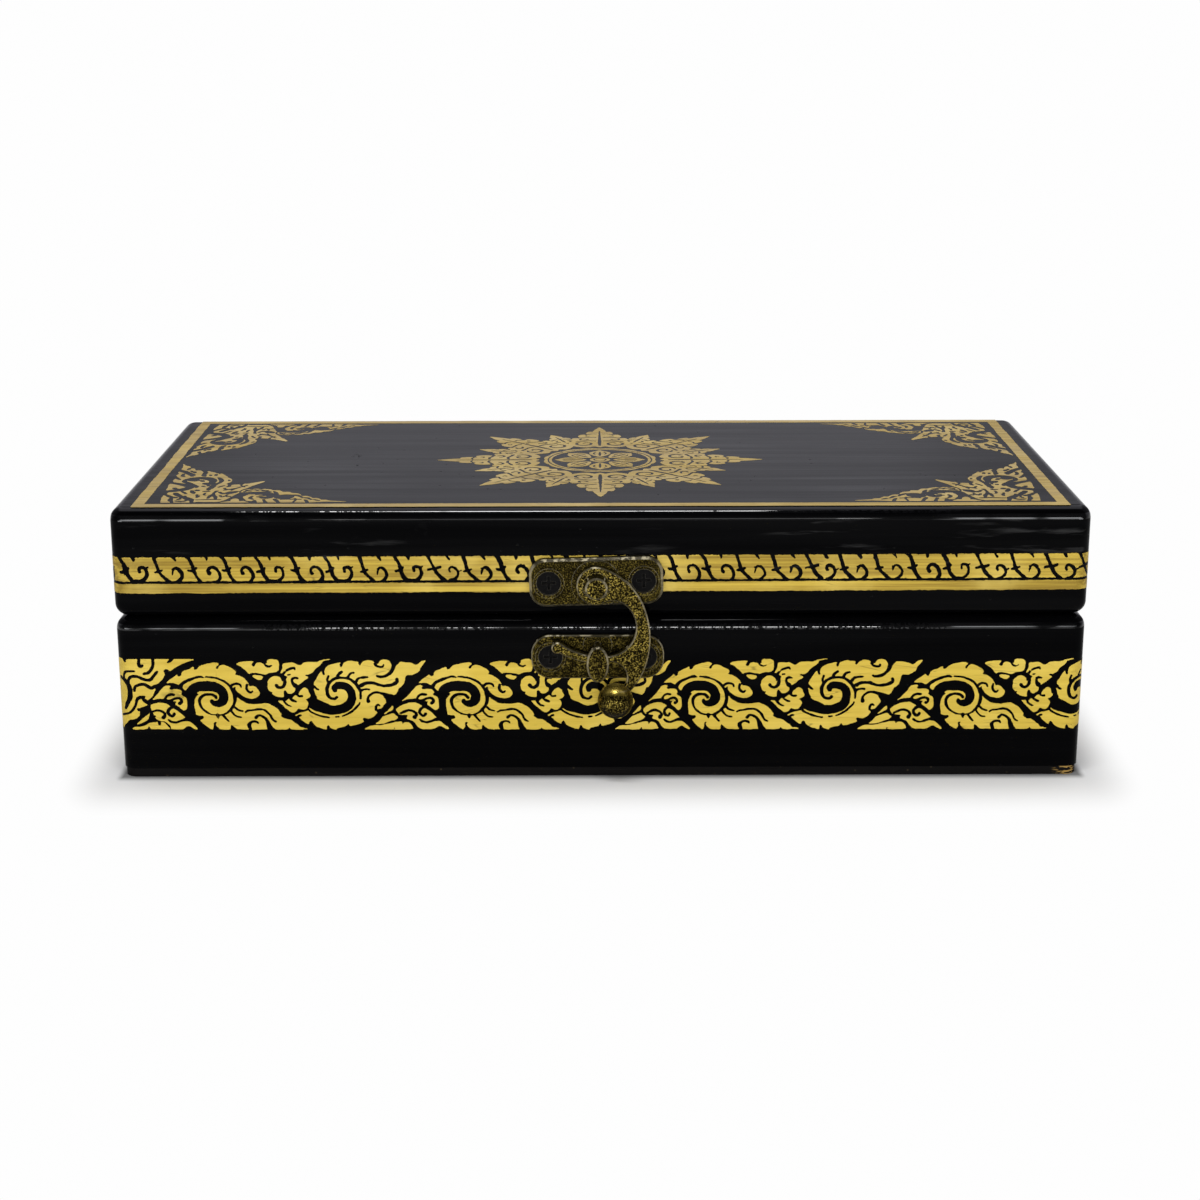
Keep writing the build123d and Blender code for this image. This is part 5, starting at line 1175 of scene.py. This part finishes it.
def antique_brass():
    """Darkened brass with a pebbled skin, gold in the high spots and on the rubbed edges; painted shade on the plates,
    on faces turned down and on the tops, and painted highlights on the ball's top and along the upper edges.
    """
    material, bench, place = finish_bench("antique_brass")
    pebble = bench.noise(place, 3000.0, 2.0, 0.6)
    cloud = bench.noise(place, 330.0, 4.0, 0.6)
    facing = bench.split(bench.put("TexCoord").outputs["Normal"])
    upward, forward = facing[2], bench.times(facing[1], -1.0)
    at = bench.split(place)
    # the plates are painted darker than the parts in front of them: painted shade where the arm and keeper stand off
    # the plates
    proud = bench.between(at[1], *PLATES_END)
    ball = bench.times(bench.between(at[2], *BALL_TOP), bench.between(at[1], *BALL_BACK))
    off_ball = bench.minus(1.0, ball)
    keeper = bench.times(bench.between(at[1], *KEEPER_BACK), bench.within(at[2], *KEEPER_HEIGHT))
    # painted shade on the tops: faces turned up, except on the ball, are painted much darker and lose their bright
    # edges
    top = bench.times(bench.between(upward, 0.3, 0.6), off_ball)
    painted_shade_on_tops = bench.between(top, 0.0, 1.0, 1.0, 0.1)

    # the share of bright brass; faces turned down are painted darker as painted shade, and the keeper's head is half
    # as bright
    bright = bench.times(
        bench.between(pebble, 0.47, 0.68),
        bench.between(cloud, 0.36, 0.6, 0.4, 1.1),
        bench.plus(0.32, bench.times(proud, 0.6)),
        bench.between(keeper, 0.0, 1.0, 1.0, 0.5),
        bench.between(upward, -0.5, 0.3, 0.35, 1.0),
        painted_shade_on_tops,
    )
    # a painted highlight: the top of the ball is painted brighter
    ball_painted_highlight = bench.times(bench.between(upward, 0.45, 0.8, 0.0, 0.6), ball)
    bright = bench.reckon("ADD", bright, ball_painted_highlight, clamp=True)
    colour = bench.mix(bright, (0.005, 0.0038, 0.001, 1), (0.55, 0.41, 0.08, 1))

    # a painted highlight: a broken pale line on the faces that turn half up, as along the plates' top edges
    line = bench.times(bench.within(upward, 0.66, 0.69, 0.72, 0.76),
                       bench.between(bench.noise(place, 420.0, 3.0, 0.6), 0.46, 0.58, 0.0, 0.4))
    rim = bench.times(bench.within(forward, 0.4, 0.62, 0.9, 0.985), off_ball,
                      bench.between(bench.noise(place, 900.0), 0.3, 0.6, 0.4, 1.0))
    # the rubbed edges and the rims of the roundings are worn pale, and they are painted lighter on their upper side
    # and darker underneath and on the tops, as painted light and shade
    rubbed = bench.use(rubbed_edge, Place=place, Width=0.00018)[0]
    edge = bench.times(bench.most(bench.times(rubbed, 0.4), rim), bench.between(upward, -0.6, 0.4, 0.2, 0.6),
                       painted_shade_on_tops)
    colour = bench.mix(bench.most(edge, line), colour, (0.86, 0.76, 0.5, 1))
    bump = bench.put("Bump", Strength=0.4, Distance=0.00004, Height=pebble)
    varnish(bench, Base_Color=colour, Roughness=bench.minus(0.36, bench.times(bright, 0.14)),
            Metallic=bench.between(top, 0.0, 1.0, 0.92, 0.1), IOR=1.15, Normal=bump)
    return material


def hinge_brass():
    """Plain rolled brass, dulled by fingers."""
    material, bench, place = finish_bench("hinge_brass")
    fine = bench.use(brush_streaks, Place=place)[0]
    rubbed = bench.use(rubbed_edge, Place=place, Width=0.0002)[0]
    dull = bench.noise(place, 420.0)
    colour = bench.mix(bench.between(dull, 0.35, 0.7), (0.36, 0.26, 0.1, 1), (0.58, 0.44, 0.19, 1))
    colour = bench.mix(rubbed, colour, (0.75, 0.62, 0.32, 1))
    bump = bench.put("Bump", Strength=0.3, Distance=0.00005, Height=fine)
    varnish(bench, Base_Color=colour, Roughness=bench.between(dull, 0.3, 0.7, 0.28, 0.42), Metallic=1.0, Normal=bump)
    return material


def blackened_steel():
    """Black oxide on small screws, worn grey on the edges of the slots."""
    material, bench, place = finish_bench("blackened_steel")
    rubbed = bench.use(rubbed_edge, Place=place, Width=0.00018)[0]
    grain = bench.noise(place, 1800.0)
    colour = bench.mix(grain, (0.001, 0.001, 0.001, 1), (0.006, 0.0055, 0.0055, 1))
    colour = bench.mix(bench.times(rubbed, 0.6), colour, (0.07, 0.065, 0.055, 1))
    bump = bench.put("Bump", Strength=0.3, Distance=0.00004, Height=grain)
    varnish(bench, Base_Color=colour, Roughness=bench.between(grain, 0.3, 0.7, 0.3, 0.45), IOR=1.12, Normal=bump)
    return material


# the chip near the right end of the bottom board's front edge, in metres; it is longer than high
CHIP_SQUEEZE, CHIP_SIZE = 0.45, (0.0008, 0.002)
BOARD_CHIP = (CHIP_SQUEEZE * 0.1125, -0.0529, 0.0012)


def bottom_board_paint():
    """Matt black paint on a rough-sawn board, with one chip down to the wood."""
    material, bench, place = finish_bench("bottom_board_paint")
    grain = bench.drawn_out(place, (30, 420, 420), 5.0, 0.65)
    specks = bench.use(fine_specks, Place=place, Count=500.0, Size=0.18)[0]
    colour = bench.mix(grain, (0.002, 0.002, 0.002, 1), (0.007, 0.006, 0.006, 1))
    colour = bench.mix(bench.times(specks, 0.3), colour, (0.12, 0.09, 0.05, 1))
    off = bench.put("VectorMath", {"operation": "DISTANCE"}, i0=bench.stretch(place, (CHIP_SQUEEZE, 1, 1)),
                    i1=BOARD_CHIP).outputs["Value"]
    chip = bench.times(bench.between(off, *CHIP_SIZE, 1.0, 0.0),
                       bench.between(bench.drawn_out(place, (500, 900, 2600), 2.0), 0.48, 0.56))
    colour = bench.mix(chip, colour, (0.34, 0.21, 0.06, 1))
    bump = bench.put("Bump", Strength=0.6, Distance=0.0003, Height=grain)
    varnish(bench, Base_Color=colour, Roughness=bench.between(grain, 0.3, 0.7, 0.35, 0.6), IOR=1.12, Normal=bump)
    return material


def red_velvet():
    """Short-pile velvet, lighter where the pile lies over."""
    material, bench, place = finish_bench("red_velvet")
    pile = bench.noise(place, 2600.0, 2.0, 0.7)
    lay = bench.plus(bench.times(bench.noise(place, 38.0), 0.5),
                     bench.times(bench.drawn_out(place, (60, 22, 60)), 0.5))
    colour = bench.mix(bench.between(lay, 0.4, 0.62), (0.19, 0.008, 0.012, 1), (0.31, 0.018, 0.026, 1))
    colour = bench.mix(bench.between(pile, 0.35, 0.7, 0.35, 0.0), colour, (0.05, 0.002, 0.003, 1))
    bump = bench.put("Bump", Strength=0.55, Distance=0.0003, Height=pile)
    varnish(bench, Base_Color=colour, Roughness=bench.between(pile, 0.3, 0.7, 0.8, 0.95), Sheen_Weight=0.6,
            Sheen_Roughness=0.35, Sheen_Tint=(0.95, 0.35, 0.36, 1), Normal=bump)
    return material


# metres from the case's sides over which the floor's painted contact shadow and its whiteness come in
CONTACT_SHADE, PLAIN_WHITE, END_CLOSENESS = (-0.001, 0.0035), (0.001, 0.027), 1.8


def studio_paper():
    """Pale paper that keeps the shadow round the box, with a painted contact shadow at its foot, and turns plain white
    for the camera further off.
    """
    material, bench, place = finish_bench("studio_paper")
    fibre = bench.noise(place, 30.0, 2.0)
    flat = bench.split(place)
    aside = bench.most(bench.minus(bench.either_way(flat[0]), half_length * MM), 0.0)
    ahead = bench.most(bench.minus(bench.either_way(flat[1]), half_depth * MM), 0.0)
    corner = bench.put("CombineXYZ", X=bench.times(aside, END_CLOSENESS), Y=ahead)
    away = bench.put("VectorMath", {"operation": "LENGTH"}, i0=corner).outputs["Value"]
    paper = bench.mix(fibre, (0.84, 0.84, 0.845, 1), (0.85, 0.85, 0.855, 1))
    # a painted contact shadow: the paper's colour goes dark grey within a few millimetres of the case
    shader = bench.put("BsdfPrincipled", Roughness=0.9, IOR=1.2,
                       Base_Color=bench.mix(bench.between(away, *CONTACT_SHADE), (0.13, 0.13, 0.13, 1), paper))
    white = bench.put("Emission", Color=(0.99, 0.99, 0.99, 1), Strength=1.0)
    share = bench.times(bench.between(away, *PLAIN_WHITE), bench.put("LightPath").outputs["Is Camera Ray"])
    both = bench.put("MixShader", Fac=share, i1=shader, i2=white)
    bench.put("OutputMaterial", Surface=both)
    return material


# ---------------------------------------------------------------- velvet inside

# millimetres: the card's rounded edge, the mesh, how far the velvet dips to its edges, and its slow waves
PAD_ROUND, PAD_MESH = 0.45, 6.0
PAD_DIP, PAD_DIP_WIDTH = 0.16, 9.0
PAD_WAVE, PAD_WAVE_LENGTH = 0.05, 17.0


def velvet_board(name, node, body, material):
    """Velvet drawn over thin padding on a card, rounded at its edges and gently crowned."""
    low, high = (np.array(v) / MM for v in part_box(node))
    size = high - low
    thin = int(size.argmin())
    wide = [k for k in range(3) if k != thin]
    mesh = bmesh.new()
    bmesh.ops.create_cube(mesh, size=1.0)
    for v in mesh.verts:
        v.co = Vector(((np.array(v.co) + 0.5) * size + low).tolist())
    bmesh.ops.bevel(mesh, geom=list(mesh.edges), offset=PAD_ROUND, offset_type="OFFSET", segments=3, profile=0.5,
                    affect="EDGES")
    for axis in wide:
        across = Vector([float(i == axis) for i in range(3)])
        strips = max(2, round(size[axis] / PAD_MESH))
        for k in range(1, strips):
            at = low.copy()
            at[axis] += size[axis] * k / strips
            bmesh.ops.bisect_plane(mesh, geom=list(mesh.verts) + list(mesh.edges) + list(mesh.faces), dist=1e-5,
                                   plane_co=Vector(at.tolist()), plane_no=across)
    middle = (low + high) / 2
    for v in mesh.verts:
        p = np.array(v.co)
        inward = min(min(p[k] - low[k], high[k] - p[k]) for k in wide)
        dip = PAD_DIP * (1 - min(1.0, inward / PAD_DIP_WIDTH))
        dip += PAD_WAVE * (0.5 + 0.5 * noise.noise(Vector((p / PAD_WAVE_LENGTH).tolist())))
        side = -1 if p[thin] > middle[thin] else 1
        p[thin] += dip * side * min(1.0, abs(p[thin] - middle[thin]) * 2 / size[thin])
        v.co = Vector((p * MM).tolist())
    flat = bpy.data.meshes.new(name)
    mesh.to_mesh(flat)
    mesh.free()
    flat.polygons.foreach_set("use_smooth", np.ones(len(flat.polygons), bool))
    flat.materials.append(material)
    board = bpy.data.objects.new(name, flat)
    bpy.context.collection.objects.link(board)
    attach(board, body)
    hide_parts(node)


# ---------------------------------------------------------------- studio


def studio_floor():
    """A wide sheet of paper under the box."""
    reach = 30.0
    sheet = bpy.data.meshes.new("studio_floor")
    sheet.from_pydata([(-reach, -reach, 0), (reach, -reach, 0), (reach, reach, 0), (-reach, reach, 0)], [],
                      [(0, 1, 2, 3)])
    sheet.materials.append(studio_paper())
    floor = bpy.data.objects.new("studio_floor", sheet)
    bpy.context.collection.objects.link(floor)


def studio_air():
    """White for the camera, a soft even fill, and pale walls behind the box for the gloss to mirror."""
    world = bpy.data.worlds.new("studio_air")
    bpy.context.scene.world = world
    world.use_nodes = True
    world.node_tree.nodes.clear()
    bench = Bench(world.node_tree)
    path = bench.put("LightPath").outputs
    way = bench.split(bench.put("TexCoord").outputs["Generated"])
    behind = bench.between(way[1], -0.32, 0.0)
    level = bench.plus(bench.between(way[2], 0.19, 0.24, 0.47, 0.64), bench.between(way[2], 0.25, 0.7, 0.0, 0.16))
    level = bench.times(level, bench.between(bench.either_way(way[0]), 0.12, 0.2, 1.0, 0.7))
    wall = bench.plus(bench.times(behind, level), 0.06)
    glossy = path["Is Glossy Ray"]
    seen = bench.most(path["Is Camera Ray"], path["Is Transmission Ray"])
    fill = bench.plus(bench.times(glossy, wall), bench.times(bench.minus(1.0, glossy), 0.66))
    air = bench.put("Background", Color=bench.mix(glossy, (1, 1, 1, 1), (0.92, 0.91, 1.0, 1)),
                    Strength=bench.most(seen, fill))
    bench.put("OutputWorld", Surface=air)


def softbox(name, place, aim, size, power, colour=(1, 1, 1)):
    """A wide soft lamp that looks at the point it is aimed at."""
    data = bpy.data.lights.new(name, "AREA")
    data.shape, data.size, data.size_y, data.energy, data.color = "RECTANGLE", size[0], size[1], power, colour
    light = bpy.data.objects.new(name, data)
    light.location = place
    light.rotation_euler = (Vector(aim) - Vector(place)).to_track_quat("-Z", "Y").to_euler()
    bpy.context.collection.objects.link(light)


def studio():
    """Floor, surroundings and four softboxes."""
    studio_floor()
    studio_air()
    box_middle, cool = (0, 0, 0.05), (0.95, 0.975, 1.0)
    softbox("overhead_softbox", (-0.06, -0.3, 1.02), (0, 0, 0), (0.36, 0.08), 2.8)
    softbox("left_softbox", (-0.6, -1.05, 0.11), box_middle, (0.75, 0.14), 1.9, cool)
    softbox("right_softbox", (0.6, -1.05, 0.11), box_middle, (0.75, 0.14), 1.9, cool)
    softbox("middle_softbox", (0.0, -1.1, 0.12), box_middle, (0.4, 0.09), 2.5)


SENSOR_WIDTH, LENS = 36.0, 67.3
CAMERA_PLACE = (-0.0020, -0.5618, 0.1876)
LOOKS_DOWN, LEANS, TURNS = 15.77, -0.094, -0.20


def photo_camera():
    """The camera stands where the photograph's own edges put it."""
    data = bpy.data.cameras.new("photo_camera")
    data.sensor_width, data.lens = SENSOR_WIDTH, LENS
    data.clip_start, data.clip_end = 0.02, 100.0
    camera = bpy.data.objects.new("photo_camera", data)
    camera.matrix_world = (Matrix.Translation(CAMERA_PLACE) @ Matrix.Rotation(math.radians(TURNS), 4, "Z")
                           @ Matrix.Rotation(math.radians(90 - LOOKS_DOWN), 4, "X")
                           @ Matrix.Rotation(math.radians(LEANS), 4, "Z"))
    bpy.context.collection.objects.link(camera)
    bpy.context.scene.camera = camera


# ---------------------------------------------------------------- putting it together

photo_camera()
studio()

lacquer = black_lacquer()
front_gold = gilding("front_gilding", gold=(0.65, 0.475, 0.068, 1), shade=(0.53, 0.37, 0.044, 1),
                     pale=(0.74, 0.57, 0.12, 1), metal=0.35, brushed=0.25)
lid_gold = gilding("lid_band_gilding", gold=(0.53, 0.375, 0.052, 1), shade=(0.25, 0.16, 0.019, 1),
                   pale=(0.66, 0.5, 0.12, 1), metal=0.35, brushed=0.16)
top_gold = gilding("lid_top_gilding", gold=(0.6, 0.43, 0.12, 1), shade=(0.38, 0.26, 0.06, 1),
                   pale=(0.72, 0.55, 0.2, 1), metal=0.25, brushed=0.2)
velvet = red_velvet()
finish_of = {
    "lacquered_wood": lacquer,
    "bottom_board": bottom_board_paint(),
    "velvet_lining": velvet,
    "antique_brass": antique_brass(),
    "hinge_brass": hinge_brass(),
    "black_screws": blackened_steel(),
}
slot_of = {part["node"]: part["material_slot"] for part in frame["record"]["subparts"]}
for node, part in frame["nodes"].items():
    for slot in part.material_slots:
        slot.link = "OBJECT"
        slot.material = finish_of[slot_of[node]]
    if not part.material_slots:
        part.data.materials.append(finish_of[slot_of[node]])

scroll_band(front_gold)
hook_band(lid_gold)
gold_strip(lid_gold)
lid_border(top_gold)
corner_ornaments(top_gold)
lid_medallion(top_gold)

for side in ("front", "back", "left", "right"):
    velvet_board("velvet_" + side, f"base_{side}_lining", "base", velvet)
velvet_board("velvet_floor", "base_floor_lining", "base", velvet)
velvet_board("velvet_lid", "lid_top_lining", "lid", velvet)

bpy.context.scene.view_settings.view_transform = "Standard"
